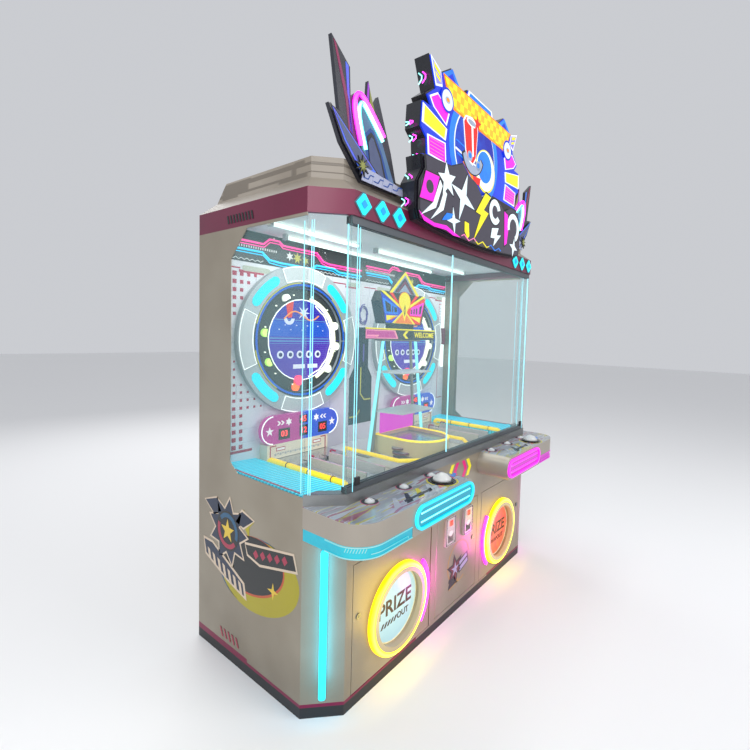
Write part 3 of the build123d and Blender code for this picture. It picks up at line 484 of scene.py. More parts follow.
wing_art = [(0, wing_maroon, [(-996, 2758), (-982, 2748), (-905, 2560), (-880, 2440), (-905, 2452),
                              (-925, 2560)]), (0, wing_blue,
                                               [(-930, 2706), (-913, 2696), (-905, 2583), (-880, 2440),
                                                (-897, 2452), (-915, 2583)]),
            (0, wing_violet, [(-797, 2686), (-789, 2672), (-790, 2606), (-735, 2510), (-745, 2500),
                              (-803, 2597)]), (0, wing_olive,
                                               [(-786, 2664), (-776, 2640), (-640, 2330), (-652, 2330),
                                                (-782, 2604)]), (1, wing_slate,
                                                                 [(-852, 2578), (-838, 2594),
                                                                  (-822, 2592), (-800, 2574),
                                                                  (-700, 2470), (-600, 2300),
                                                                  (-790, 2300), (-842, 2440),
                                                                  (-862, 2530)]), (2, wing_deep_blue,
                                                                                   [(-812, 2470),
                                                                                    (-778, 2505),
                                                                                    (-757, 2498),
                                                                                    (-700, 2420),
                                                                                    (-640, 2300),
                                                                                    (-770, 2300),
                                                                                    (-806, 2410)]),
            (3, wing_ink, [(-800, 2462), (-776, 2488), (-758, 2480), (-708, 2410), (-662, 2300),
                           (-770, 2300)]), (4, wing_lavender,
                                            [(-792, 2440), (-774, 2468), (-760, 2462), (-716, 2396),
                                             (-676, 2300), (-768, 2300)]),
            (5, wing_ink, [(-1013, 2511), (-725, 2326), (-745, 2300), (-826, 2276), (-944, 2392)]),
            (6, wing_blue, [(-1003, 2500), (-745, 2330), (-758, 2312), (-822, 2290), (-934, 2397)]),
            (7, wing_lavender, [(-990, 2485), (-765, 2334), (-822, 2306), (-926, 2400)])]
star_tips = 9
for s in (-1, 1):
    for layer, finish, outline in wing_art:
        flipped = [(-s * x, z) for x, z in outline]
        near = wing_front - 1.5 * (layer + 1)
        cut_sheet("wing_print", flipped, "front", near, near + 1.6, finish)
    arch_y = wing_front - 9.0
    for name, finish, radius, arch in (("wing_outer_arch", neon_magenta, 10.0,
                                        [(837, 2412), (868, 2490), (884, 2560), (872, 2606),
                                         (842, 2616), (806, 2590), (742, 2540), (696, 2494)]),
                                       ("wing_inner_arch", neon_ice, 9.0,
                                        [(809, 2403), (842, 2480), (858, 2545), (846, 2580),
                                         (828, 2582), (796, 2556), (742, 2510), (703, 2474)])):
        bent_tube(name, [(s * x, arch_y, z) for x, z in arch], radius, finish,
                  smooth=True)
    plate_y = wing_front - 22.0
    for step in range(4):
        x = s * (800.0 - 62.0 * step)
        base_plate = [(x - 44, 2266), (x + 44, 2266), (x + 36, 2318 - 6 * step),
                      (x - 30, 2326 - 6 * step)]
        cut_sheet("wing_base_plate", base_plate, "front", plate_y - 2 * step, plate_y + 4 - 2 * step,
                  wing_silver)
        bent_tube("wing_base_trace",
                  [(x - 34, plate_y - 2 * step - 1, 2280), (x - 6, plate_y - 2 * step - 1, 2280),
                   (x + 8, plate_y - 2 * step - 1, 2300), (x + 30, plate_y - 2 * step - 1, 2300)],
                  2.2, wing_deep_blue)
    star = burst(s * 846, 2322, 44, 17, star_tips)
    cut_sheet("wing_star", star, "front", plate_y - 6, plate_y, wing_ink)
    cut_sheet("wing_star_core", sized(star, 0.55), "front", plate_y - 8, plate_y - 6, wing_olive)


# ---------- light box sign
# A black sheet metal box with a backlit printed face. The print is cut from coloured films laid on
# each other: rays and blocks around a round window, a dark field with bold strokes below it.
def mirrored(outline):
    """Outline turned over left to right."""
    return [(-u, v) for u, v in outline]


def arc_points(u, v, radius, start, end, count, squash=1.0):
    """Points along an arc about a middle, angles in degrees."""
    turn = [math.radians(start + (end - start) * step / (count - 1)) for step in range(count)]
    return [(u + radius * math.cos(a), v + squash * radius * math.sin(a)) for a in turn]


def disc(u, v, radius, count, squash=1.0):
    """Outline of a round or flattened disc."""
    return arc_points(u, v, radius, 0, 350, count, squash)


def sector(u, v, inner, outer, start, end, count=24):
    """Outline of a band bent along an arc."""
    return arc_points(u, v, outer, start, end, count) + arc_points(u, v, inner, end, start, count)


def checked_film():
    """Yellow film with orange squares, brighter in front of the lamps."""
    film, tree, shader, place, wear = new_finish("checked_film", 26.0)
    squares = add(tree, "TexChecker", {"Vector": place, "Scale": 27.0})
    colour = mixed(tree, squares.outputs["Fac"], shade("FFF01E"), shade("FFB01A"))
    colour = mixed(tree, times(tree, wear["Fleck"], 0.4), colour, shade("FFE01A"))
    feed(shader, "Emission Color", colour)
    feed(shader, "Emission Strength", 0.9)
    feed(shader, "Base Color", mixed(tree, 0.75, colour, shade("000000")))
    feed(shader, "Roughness", 0.3)
    return film


def face_finish():
    """Lit blue behind the upper picture, dark grey behind the lower field."""
    film, tree, shader, place, wear = new_finish("sign_face", 26.0)
    x, y, z = split(tree, place)
    upper = figure(tree, "GREATER_THAN", z, 2.462)
    colour = mixed(tree, wear["Cloud"], shade("0A2BD6"), shade("1445F0"))
    colour = mixed(tree, upper, shade("15131A"), colour)
    feed(shader, "Emission Color", colour)
    feed(shader, "Emission Strength", 0.75)
    feed(shader, "Base Color", mixed(tree, 0.7, colour, shade("000000")))
    feed(shader, "Roughness", 0.3)
    return film


film_blue = backlit("film_blue", "1C8BFF", "1264E8", 0.85)
film_deep_blue = backlit("film_deep_blue", "0A2BD6", "1445F0", 0.8)
film_night = backlit("film_night", "0B1BB0", "1E6AF2", 0.8)
film_white = backlit("film_white", "FFFFFF", "D8F4FF", 1.0)
film_ice = backlit("film_ice", "E2F6FF", "F6FFFF", 0.95)
film_magenta = backlit("film_magenta", "FF14DC", "E012D8", 0.95)
film_yellow = backlit("film_yellow", "FFF21A", "F5E312", 0.95)
film_orange = backlit("film_orange", "FF9A1A", "FF5A1E", 0.9)
film_red = backlit("film_red", "FF1E14", "E0140E", 0.9)
film_pink = backlit("film_pink", "FF7FC4", "FFB8A0", 0.9)
film_grey = backlit("film_grey", "4B4757", "413D4C", 0.55)
film_black = coated("film_black", "141219", "1D1A22", 0.35)
film_silver = backlit("film_silver", "AEBBD2", "7F8CA8", 0.8)
film_lilac = backlit("film_lilac", "8E86F2", "B9C6FF", 0.8)

dress(coated("sign_box_black", "14161C", "20232B", 0.3, coat=0.3), "marquee_box")
dress(face_finish(), "marquee_face")
face_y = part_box("marquee_face")[0].y / mm


def face_print(layer, finish, outline):
    """One film of the sign's face, by its layer."""
    near = face_y - 1.3 * layer
    cut_sheet("sign_print", outline, "front", near, near + 1.5, finish)


def both_prints(layer, finish, *outlines):
    """Films and their mirror images."""
    near = face_y - 1.3 * layer
    pairs = list(outlines) + [mirrored(outline) for outline in outlines]
    cut_sheets("sign_print", pairs, "front", near, near + 1.5, finish)


window_x, window_z = -38.0, 2624.0
face_print(1, film_white, [(-132, 2920), (132, 2920), (152, 2876), (-152, 2876)])
face_print(2, film_blue, [(-118, 2912), (118, 2912), (134, 2882), (-134, 2882)])
both_prints(1, film_blue, [(218, 2884), (300, 2946), (388, 2888), (345, 2866)])
both_prints(2, film_deep_blue, [(258, 2884), (300, 2924), (346, 2888), (320, 2868)])
both_prints(1, film_white, [(402, 2890), (490, 2922), (440, 2806), (384, 2824)])
both_prints(2, film_lilac, [(406, 2884), (478, 2910), (436, 2816), (392, 2832)])
both_prints(3, film_yellow, [(412, 2880), (466, 2900), (458, 2880), (412, 2862)],
            [(410, 2850), (450, 2866), (442, 2848), (404, 2834)])
face_print(1, film_blue, disc(window_x, window_z, 272, 36))
face_print(2, film_white, disc(window_x, window_z, 226, 36))
face_print(3, film_night, disc(window_x, window_z, 219, 36))
for row in range(3):
    z = 2482 + 62 * row
    span = math.sqrt(219 ** 2 - (z - window_z) ** 2) - 8
    face_print(4, film_blue, [(window_x - span, z + 26), (window_x + span, z - 14),
                              (window_x + span, z - 21), (window_x - span, z + 19)])
face_print(4, film_white, [(-252, 2592), (60, 2556), (60, 2548), (-252, 2582)])
face_print(4, film_yellow, disc(78, 2566, 116, 32))
face_print(5, film_white, disc(76, 2568, 108, 32))
face_print(6, film_blue, disc(62, 2584, 84, 32))
both_prints(4, film_orange, [(374, 2884), (384, 2884), (312, 2764), (300, 2764)])
face_print(4, film_orange, [(-384, 2888), (384, 2888), (318, 2758), (-318, 2758)])
face_print(5, checked_film(), [(-372, 2880), (372, 2880), (306, 2768), (-306, 2768)])
for s in (-1, 1):
    face_print(6, film_deep_blue, disc(s * 346, 2776, 58, 24))
    face_print(7, film_ice, disc(s * 346, 2776, 47, 24))
    face_print(8, film_silver, disc(s * 346, 2776, 22, 14, 0.7))
    face_print(9, film_orange, disc(s * 346, 2776, 13, 10, 0.7))
ray_blocks = [
    (film_magenta, [(424, 2776), (484, 2738), (452, 2704), (343, 2664), (322, 2724)]),
    (film_yellow, [(534, 2682), (538, 2602), (350, 2590), (340, 2644)]),
    (film_magenta, [(494, 2560), (484, 2478), (336, 2480), (348, 2572)]),
]
for finish, outline in ray_blocks:
    both_prints(2, film_white, sized(outline, 1.08))
    both_prints(3, finish, sized(outline, 0.93))
rows = [2492 + 16 * row for row in range(5)]
both_prints(4, film_pink, *([(360, z), (478, z - 4), (478, z - 2), (360, z + 2)] for z in rows))
capsule = [(-182, 2744), (-160, 2772), (-100, 2784), (-46, 2766), (-38, 2738), (-48, 2600), (-76, 2562),
           (-132, 2572), (-152, 2612)]
face_print(6, film_white, sized(capsule, 1.1))
face_print(7, film_red, capsule)
face_print(8, film_white, [(-110, 2764), (-92, 2768), (-72, 2600), (-84, 2592)])
face_print(8, film_white, disc(-106, 2762, 54, 20, 0.34))
face_print(9, film_silver, disc(-106, 2762, 42, 20, 0.30))
face_print(9, film_red, burst(-46, 2780, 44, 17, 5))
smile = arc_points(-78, 2618, 112, 200, 345, 16) + arc_points(-78, 2636, 86, 340, 205, 16)
face_print(7, film_black, sized(smile, 1.12))
face_print(8, film_silver, smile)
face_print(8, film_silver, disc(-112, 2590, 26, 16))
face_print(9, film_blue, disc(-112, 2592, 14, 14))
face_print(8, film_silver, disc(-20, 2566, 26, 16))
face_print(9, film_blue, disc(-20, 2568, 14, 14))
face_print(6, film_orange, [(-178, 2540), (-60, 2470), (-70, 2500), (-150, 2560)])
face_print(6, film_red, [(-70, 2500), (-58, 2468), (10, 2470), (20, 2510)])

dark_field = [(-534, 2460), (-524, 2400), (-570, 2328), (-570, 2208), (-552, 2166), (-300, 2146),
              (0, 2138), (300, 2146), (552, 2166), (570, 2208), (570, 2328), (524, 2400), (530, 2440),
              (430, 2446), (330, 2404), (262, 2440), (170, 2392), (92, 2436), (30, 2416), (-40, 2470),
              (-120, 2484), (-190, 2528), (-300, 2480), (-400, 2470)]
face_print(10, film_black, dark_field)
face_print(11, film_grey, sized(dark_field, 0.975))
token = [(-520, 2386), (-408, 2392), (-452, 2262), (-562, 2256)]
bold_strokes = [(film_magenta, token), (film_ice, burst(-336, 2396, 84, 36, 5, 100)),
                (film_ice, [(-378, 2356), (-400, 2380), (-452, 2262), (-552, 2180), (-430, 2240)]),
                (film_ice, [(-336, 2330), (-360, 2344), (-400, 2252), (-470, 2178), (-362, 2246)]),
                (film_ice, burst(-176, 2356, 128, 34, 4, 74)),
                (film_ice, burst(-262, 2216, 66, 18, 4, 100)),
                (film_blue, [(-372, 2196), (-302, 2212), (-268, 2248), (-330, 2240), (-356, 2216)]),
                (film_yellow, [(-152, 2238), (-110, 2236), (-100, 2170), (-118, 2156), (-150, 2186)]),
                (film_yellow, [(70, 2444), (-34, 2316), (24, 2312), (-48, 2164), (112, 2340),
                               (54, 2346), (134, 2436)]), (film_ice,
                                                           sector(196, 2368, 38, 72, 20, 330)),
                (film_ice, [(166, 2270), (250, 2286), (228, 2240), (286, 2250), (190, 2170),
                            (206, 2218), (152, 2212)]),
                (film_magenta, [(322, 2402), (372, 2392), (386, 2300), (370, 2216), (340, 2200),
                                (332, 2300)]), (film_ice, sector(460, 2330, 56, 88, -60, 200)),
                (film_ice, burst(474, 2212, 60, 20, 4, 80))]
shadows = [sized(outline, 1.1) for finish, outline in bold_strokes]
cut_sheets("sign_print", shadows, "front", face_y - 15.6, face_y - 14.1, film_black)
for finish, outline in bold_strokes:
    face_print(13, finish, outline)
face_print(14, film_grey, disc(-486, 2324, 30, 20))
ribbon = [(-566, 2196), (-524, 2160), (-440, 2150), (-330, 2156), (-262, 2142), (-190, 2146),
          (-262, 2160), (-330, 2178), (-440, 2168), (-524, 2180)]
face_print(13, film_magenta, ribbon)
beat_y = face_y - 20.0
beat = []
for step in range(19):
    beat.append((-186 + 26 * step, beat_y, 2152 + (16 if step % 4 == 1 else -7 if step % 2 else 4)))
for first, last, finish in ((0, 6, film_pink), (6, 12, film_yellow), (12, 18, film_blue)):
    bent_tube("sign_beat_line", beat[first:last + 1], 2.6, finish)

for s in (-1, 1):
    for number, (x, z, tall) in enumerate(((478, 2840, 52), (566, 2600, 16), (538, 2542, 30),
                                           (508, 2470, 18), (560, 2350, 40), (582, 2240, 34))):
        for lane, finish in enumerate((neon_magenta, neon_ice)):
            y = face_y + 34 + 22 * lane
            line = [(s * x, y + 18, z + tall / 2), (s * x, y, z + tall / 6), (s * x, y, z - tall / 6),
                    (s * x, y + 18, z - tall / 2)]
            bent_tube("sign_side_line", line, 3.0, finish)


# ---------- consoles
# Two taupe sheet metal consoles hang on the front, with a printed plastic sheet on their decks. LED
# tubes behind clear covers light the oval window on each front and the band under the round corner.
def split_light(name, left_core, left_rim, right_core, right_rim, strength):
    """LED tube colour that differs between the left and the right half of the machine."""
    glow, tree, shader, place, wear = new_finish(name, 40.0)
    x, y, z = split(tree, place)
    slant = add(tree, "LayerWeight", {"Blend": 0.5}).outputs["Facing"]
    edge = ranged(tree, figure(tree, "ADD", slant, times(tree, wear["Fleck"], 0.25)), 0.25, 0.8)
    left = mixed(tree, edge, shade(left_core), shade(left_rim))
    right = mixed(tree, edge, shade(right_core), shade(right_rim))
    colour = mixed(tree, figure(tree, "GREATER_THAN", x, 0.0), left, right)
    feed(shader, "Emission Color", colour)
    band = times(tree, between(tree, z, 0.771, 0.824),
                  figure(tree, "GREATER_THAN", figure(tree, "ABSOLUTE", x), 0.73))
    feed(shader, "Emission Strength", ranged(tree, band, 0.0, 1.0, strength, 0.42 * strength))
    feed(shader, "Base Color", shade("0C3038"))
    feed(shader, "Roughness", 0.3)
    return glow


def uneven_gloss(tree, shader, wear, low, high):
    """Roughness that moves between two values with the grain."""
    feed(shader, "Roughness", ranged(tree, wear["Fleck"], 0.3, 0.7, low, high))


def deck_finish():
    """Printed deck sheet: dark blue-grey with pale, pink and yellow slanted lines."""
    finish, tree, shader, place, wear = new_finish("deck_print", 300.0)
    x, y, z = split(tree, place)
    slant = add(tree, "Mapping", {"Vector": place, "Rotation": (0.0, 0.0, 0.62),
                                  "Scale": (7.0, 46.0, 1.0)})
    lines = add(tree, "TexVoronoi", {"Vector": slant.outputs[0], "Scale": 1.0}, distance="CHEBYCHEV")
    edge = times(tree, ranged(tree, lines.outputs["Distance"], 0.40, 0.44), 0.75)
    tint = add(tree, "SeparateXYZ", {0: lines.outputs["Color"]}).outputs
    ink = mixed(tree, figure(tree, "GREATER_THAN", tint[0], 0.62), shade("9DA6B0"), shade("8A465C"))
    ink = mixed(tree, figure(tree, "GREATER_THAN", tint[1], 0.72), ink, shade("A39E35"))
    ground = mixed(tree, wear["Cloud"], shade("767C86"), shade("989FA8"))
    feed(shader, "Base Color", mixed(tree, edge, ground, ink))
    uneven_gloss(tree, shader, wear, 0.12, 0.24)
    feed(shader, "Coat Weight", 0.6)
    return finish


console_taupe = coated("console_taupe", "A59D92", "989085", 0.34, 0.4, grain=1400.0)
led_glow = split_light("console_led", "2CEAFF", "00B0D4", "FF20EA", "E000D0", 1.7)
window_glow = split_light("oval_window_light", "0CC4DC", "009CC0", "FF10E6", "E000D0", 0.85)
bright_line = split_light("oval_line_light", "C8FFFF", "40F0FF", "FF7CFF", "FF20F0", 1.7)
dress(console_taupe, "console_shells")
dress(deck_finish(), "console_decks")
dress(led_glow, "led_tubes")
console_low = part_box("console_shells")[0] / mm
console_face = console_low.y
deck_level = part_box("console_decks")[1].z / mm


def oval(x_low, x_high, z_low, z_high):
    """Outline with round ends, seen from the front."""
    radius = (z_high - z_low) / 2
    middle = (z_low + z_high) / 2
    return (arc_points(x_high - radius, middle, radius, -90, 90, 14)
            + arc_points(x_low + radius, middle, radius, 90, 270, 14))


for s in (-1, 1):
    low, high = sorted((s * 228, s * 708))
    cut_sheet("oval_window", oval(low, high, 800, 884), "front", console_face - 3, console_face - 0.5,
              window_glow)
    for z in (823, 861):
        bent_tube("oval_inner_tube", [(low + 28, console_face - 5, z),
                                      (high - 28, console_face - 5, z)], 4.0, bright_line)
    corner = [(s * x, y) for x, y in arc_points(922, console_face + 130, 131, -90, 0, 14)]
    for z in (775.0, 819.0):
        band_line = [(s * 738, console_face - 1, z)] + [(x, y, z) for x, y in corner]
        band_line.append((s * 1053, console_face + 194, z))
        bent_tube("band_outline", band_line, 2.6, bright_line)
    inner_line = [(s * 768, console_face - 2, 784), (s * 768, console_face - 2, 792)]
    inner_line += [(x, y, 792.0) for x, y in corner[:5]]
    bent_tube("band_inner_line", inner_line, 2.0, bright_line)
    for rib in range(8):
        angle = math.radians(-52 + 5.0 * rib)
        lean = math.radians(3.0)
        foot = (s * (922 + 131 * math.cos(angle)), console_face + 130 + 131 * math.sin(angle), 800.0)
        head = (s * (922 + 131 * math.cos(angle - lean)),
                console_face + 130 + 131 * math.sin(angle - lean), 815.0)
        bent_tube("band_rib", [foot, head], 2.2, bright_line)

button_print = coated("button_print_yellow", "B8AF30", "A39A26", 0.25)
button_pink = coated("button_print_pink", "C4567C", "AE4569", 0.25)
button_blue = coated("button_print_blue", "4A7FD0", "3C6BB8", 0.25)
deck_pale = coated("deck_print_pale", "9FA5AD", "8B929B", 0.2)
deck_ink = coated("deck_print_ink", "2A2D38", "363A47", 0.2)
dress(coated("bezel_black", "17181C", "26282E", 0.22, coat=0.4), "button_bezels")


def button_finish():
    """White button cap with a red crescent and a thin ring printed under its clear top."""
    finish, tree, shader, place, wear = new_finish("button_cap_white", 500.0)
    x, y, z = split(tree, place)
    middle = mixed(tree, figure(tree, "GREATER_THAN", x, 0.0), (-0.392, -0.6, 0.0, 1.0),
                   (0.758, -0.6, 0.0, 1.0))
    across = add(tree, "VectorMath", {0: add(tree, "CombineXYZ", {0: x, 1: y}).outputs[0], 1: middle},
                 operation="SUBTRACT").outputs[0]
    radius = add(tree, "VectorMath", {0: across}, operation="LENGTH").outputs["Value"]
    nudge = add(tree, "VectorMath", {0: across, 1: (0.004, 0.006, 0.0)}, operation="SUBTRACT").outputs[0]
    bite = add(tree, "VectorMath", {0: nudge}, operation="LENGTH").outputs["Value"]
    moon = times(tree, figure(tree, "LESS_THAN", radius, 0.024),
                 figure(tree, "GREATER_THAN", bite, 0.017))
    ring = between(tree, radius, 0.032, 0.0345)
    tone = mixed(tree, wear["Cloud"], shade("CFCFCD"), shade("C2C4C6"))
    tone = mixed(tree, moon, tone, shade("C8323E"))
    tone = mixed(tree, ring, tone, shade("6A6E76"))
    feed(shader, "Base Color", tone)
    uneven_gloss(tree, shader, wear, 0.22, 0.3)
    return finish


dress(button_finish(), "player_button_left", "player_button_right")
dress(coated("dome_white", "C6C8CA", "B6B9BC", 0.24), "coin_inlets")


def deck_piece(layer, finish, outline):
    """One colour of the deck's print."""
    cut_sheet("deck_print", outline, "top", deck_level + 0.3 * layer - 0.3,
              deck_level + 0.3 * layer + 0.1, finish)


for station in (-575.0, 575.0):
    x, y = station + 183.0, -600.0
    deck_piece(1, deck_ink, sector(x, y, 60, 70, 0, 350, 40))
    deck_piece(2, button_print, sector(x, y, 72, 82, 200, 330))
    deck_piece(2, button_pink, sector(x, y, 72, 82, 340, 460))
    deck_piece(2, button_print, sector(x, y, 72, 80, 110, 185))
    deck_piece(2, button_blue, [(x + 92, y - 18), (x + 150, y + 6), (x + 150, y + 24), (x + 92, y + 6)])
    for shift in (-254.0, -14.0, 217.0):
        deck_piece(1, deck_ink, sector(station + shift, -515, 24, 38, 0, 350, 30))
        deck_piece(2, button_pink, sector(station + shift, -515, 38, 41, 30, 300))
    for step in range(5):
        left = station - 250 + 84 * step
        deck_piece(1, (deck_pale, deck_ink, button_print, deck_pale, button_pink)[step],
                   [(left, -650), (left + 46, -650), (left + 100, -574), (left + 86, -566)])
    deck_piece(1, deck_pale, [(station - 170, -640), (station + 40, -640), (station + 64, -612),
                              (station - 150, -612)])
    deck_piece(2, deck_ink, [(station - 160, -635), (station + 34, -635), (station + 52, -617),
                             (station - 146, -617)])


# ---------- prize doors
# Taupe steel doors with a moulded ring light around a round push flap. The flap is translucent
# acrylic lit from behind and carries plain stencil lettering; a magenta arc runs outside each ring.
def lettering(name, text, size, x, y, z, finish, body):
    """Short plain wording standing upright, centred on a place in mm."""
    bpy.ops.object.select_all(action="DESELECT")
    bpy.ops.object.text_add(location=(x * mm, y * mm, z * mm), rotation=(math.radians(90), 0, 0))
    words = bpy.context.object
    words.name = name
    words.data.body = text
    words.data.size = size * mm
    words.data.align_x = "CENTER"
    words.data.align_y = "CENTER"
    words.data.extrude = 0.6 * mm
    words.data.offset = 0.018 * size * mm
    words.data.resolution_u = 3
    bpy.ops.object.convert(target="MESH")
    return sit(bpy.context.object, finish, body)


def ring_finish(name, middle):
    """Moulded ring: a thin yellow tube at its rim, a grey cone inside it, a magenta outer arc."""
    glow, tree, shader, place, wear = new_finish(name, 40.0)
    x, y, z = split(tree, place)
    along = figure(tree, "SUBTRACT", x, middle)
    up = figure(tree, "SUBTRACT", z, 0.305)
    reach = add(tree, "VectorMath", {0: add(tree, "CombineXYZ", {0: along, 1: up}).outputs[0]},
                operation="LENGTH")
    radius = reach.outputs["Value"]
    outer = figure(tree, "GREATER_THAN", radius, 0.23)
    tube = figure(tree, "GREATER_THAN", radius, 0.194)
    slant = ranged(tree, figure(tree, "ABSOLUTE", figure(tree, "SUBTRACT", radius, 0.207)), 0.0, 0.012)
    edge = ranged(tree, figure(tree, "ADD", slant, times(tree, wear["Fleck"], 0.2)), 0.3, 1.1)
    ring = mixed(tree, edge, shade("FFF85A"), shade("FFCC00"))
    arc = mixed(tree, wear["Fleck"], shade("FF48F0"), shade("E600C8"))
    feed(shader, "Emission Color", mixed(tree, outer, ring, arc))
    feed(shader, "Emission Strength", times(tree, tube, 2.4))
    cone = mixed(tree, wear["Cloud"], shade("8D8A84"), shade("A39E96"))
    feed(shader, "Base Color", mixed(tree, tube, cone, shade("4A3C08")))
    feed(shader, "Roughness", 0.35)
    return glow


stencil_ink = coated("stencil_ink", "2B1C16", "3A2A20", 0.4)
flap_rim = coated("flap_rim", "C9D4D8", "B2BFC4", 0.25)
flap_colours = {"left": ("A9D6EC", "D2ECF4"), "right": ("F0506A", "FF8A50")}
hatch_count = 5
for side, s in (("left", -1), ("right", 1)):
    middle = s * 560.0
    flap = "prize_flap_" + side
    dress(ring_finish("ring_light_" + side, middle * mm), "prize_ring_" + side)
    colour, drift = flap_colours[side]
    dress(backlit("flap_acrylic_" + side, colour, drift, 0.75), flap)
    flap_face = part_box(flap)[0].y / mm
    cut_sheet("flap_inner_ring", sector(middle, 305, 168, 176, 0, 359, 48), "front", flap_face - 2,
              flap_face, flap_rim, flap)
    lettering("flap_word_prize", "PRIZE", 104, middle, flap_face - 0.7, 312, stencil_ink, flap)
    lettering("flap_word_out", "OUT", 44, middle + 62, flap_face - 0.7, 238, stencil_ink, flap)
    starts = [middle - 108 + 24 * step for step in range(hatch_count)]
    hatch = [[(x, 226), (x + 12, 226), (x + 28, 250), (x + 16, 250)] for x in starts]
    cut_sheets("flap_hatch", hatch, "front", flap_face - 1.2, flap_face, stencil_ink, flap)
dress(coated("lock_chrome", "7C7F84", "606469", 0.25, 1.0), "door_lock_left", "door_lock_right",
      "door_lock_coin")
# Each lock's key slot is a black sheet: painted shade for the dark inside of the keyway.
for side, x, z in (("left", -845.0, 400.0), ("right", 845.0, 400.0), ("coin", 179.0, 390.0)):
    lock_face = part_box("door_lock_" + side)[0].y / mm
    cut_sheet("lock_keyway_painted_shade", [(x - 1.2, z - 5), (x + 1.2, z - 5), (x + 1.2, z + 5), (x - 1.2, z + 5)],
              "front", lock_face - 0.4, lock_face + 0.2, film_black, "lock_" + side)


def glow_lamp(name, place, aim, size, power, colour):
    """Shielded lamp in mm that carries a light tube's spill onto the steel beside it."""
    soft_box(name, Vector(place) * mm, Vector(aim) * mm, size[0] * mm, power)
    lamp = bpy.data.objects[name]
    lamp.data.shape = "RECTANGLE"
    lamp.data.size_y = size[1] * mm
    lamp.data.color = shade(colour)[:3]
    lamp.visible_camera = False


for side, s, colour in (("left", -1, "00D4FF"), ("right", 1, "FF10E8")):
    glow_lamp("corner_spill_" + side, (s * 1050, -480, 420), (s * 987, -413, 420), (60, 640), 0.7,
              colour)
    glow_lamp("ring_spill_" + side, (s * 560, -640, 305), (s * 560, -478, 305), (300, 300), 1.1,
              "FFD820")
    glow_lamp("arc_spill_" + side, (s * 300, -600, 305), (s * 300, -478, 305), (40, 200), 0.7, "FF30E0")


# ---------- coin plates and middle door
# Two standard coin entry plates are screwed to the middle door, each with a slot, a lit red button and a
# return cup. Four chevrons and a small star badge are printed on the steel; the chevrons glow by
# emission, painted light on print that is no lamp.
dress(coated("coin_plate_pink", "D3C8C9", "C0B4B6", 0.28, 0.3), "coin_plates")
dress(lit("reject_button_red", "FF7A5A", "E81E12", 1.6), "reject_button_left", "reject_button_right")
dress(coated("selector_plastic", "22242A", "30333A", 0.4), "coin_selectors")
plate_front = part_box("coin_plates")[0].y / mm
plate_steel = coated("plate_steel", "8E8A8C", "7B777A", 0.25, 0.9)
plate_sticker = coated("plate_sticker", "F1E9E6", "E2D6D4", 0.35)
for s in (-1, 1):
    x = s * 100.0
    screws = [arc_points(x + dx, 527 + dz, 4.5, 0, 330, 10) for dx in (-42, 42) for dz in (-72, 72)]
    cut_sheets("plate_screw", screws, "front", plate_front - 2, plate_front, plate_steel, "coin_door")
    cut_sheet("plate_window", oval(x - 20, x + 20, 498, 528), "front", plate_front - 0.8, plate_front,
              plate_sticker, "coin_door")
    frame_line = [(x - 46, plate_front - 1, 451), (x + 46, plate_front - 1, 451),
                  (x + 46, plate_front - 1, 603), (x - 46, plate_front - 1, 603)]
    bent_tube("plate_rim", frame_line, 2.0, plate_steel, "coin_door", closed=True)

# Painted light: the printed chevrons are given a glow of their own.
chevron_yellow_painted_glow = backlit("chevron_yellow_painted_glow", "F4E51C", "E0D012", 0.75)
chevron_magenta_painted_glow = backlit("chevron_magenta_painted_glow", "F21E86", "D81474", 0.6)
fascia_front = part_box("front_fascia")[0].y / mm
for s in (-1, 1):
    for start, finish in ((42, chevron_magenta_painted_glow), (94, chevron_yellow_painted_glow)):
        left = 6 + start
        outline = [(s * (left - 32), 802), (s * left, 802), (s * (left + 30), 852), (s * left, 903),
                   (s * (left - 32), 903), (s * (left - 2), 852)]
        cut_sheet("fascia_chevron", outline, "front", fascia_front - 0.8, fascia_front, finish)

badge_dark = coated("badge_dark", "2E2633", "3B3040", 0.35)
badge_maroon = coated("badge_maroon", "6E2238", "5A1B2E", 0.35)
badge_pale = coated("badge_pale", "A9A4C6", "8F8AB0", 0.35)
badge_gold = coated("badge_gold", "B08A55", "997544", 0.35)
door_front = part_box("coin_door")[0].y / mm
badge_art = [
    (1, badge_gold, sector(20, 300, 118, 126, 10, 300)),
    (2, badge_dark, burst(-20, 268, 96, 46, 6, 100)),
    (3, badge_maroon, burst(-20, 268, 70, 34, 6, 100)),
    (4, badge_pale, burst(-20, 268, 44, 15, 5)),
    (3, badge_pale, [(34, 232), (128, 262), (120, 286), (28, 258)]),
    (3, badge_pale, [(30, 270), (118, 298), (108, 318), (26, 294)]),
    (2, badge_dark, [(26, 222), (136, 256), (122, 326), (20, 302)]),
    (1, badge_gold, [(-84, 160), (10, 176), (24, 200), (-70, 190)]),
    (2, badge_dark, [(-92, 168), (-20, 178), (-8, 226), (-78, 214)]),
]
for layer, finish, outline in badge_art:
    cut_sheet("door_badge", outline, "front", door_front - 0.3 * layer - 0.3,
              door_front - 0.3 * layer + 0.2, finish, "coin_door")


# ---------- side graphics
# A large vinyl sticker on each side panel: a dark tilted disc inside a yellow swoosh. A star badge,
# slashes and diamonds, cut from flat vinyl, stand where the maker had a figure and wording.
def tilted_disc(u, v, long, short, lean, count=40):
    """Ellipse outline leaning by an angle in degrees."""
    tilt = math.radians(lean)
    return [(u + a * math.cos(tilt) - b * math.sin(tilt), v + a * math.sin(tilt) + b * math.cos(tilt))
            for a, b in ((long * math.cos(t), short * math.sin(t))
                         for t in (2 * math.pi * step / count for step in range(count)))]


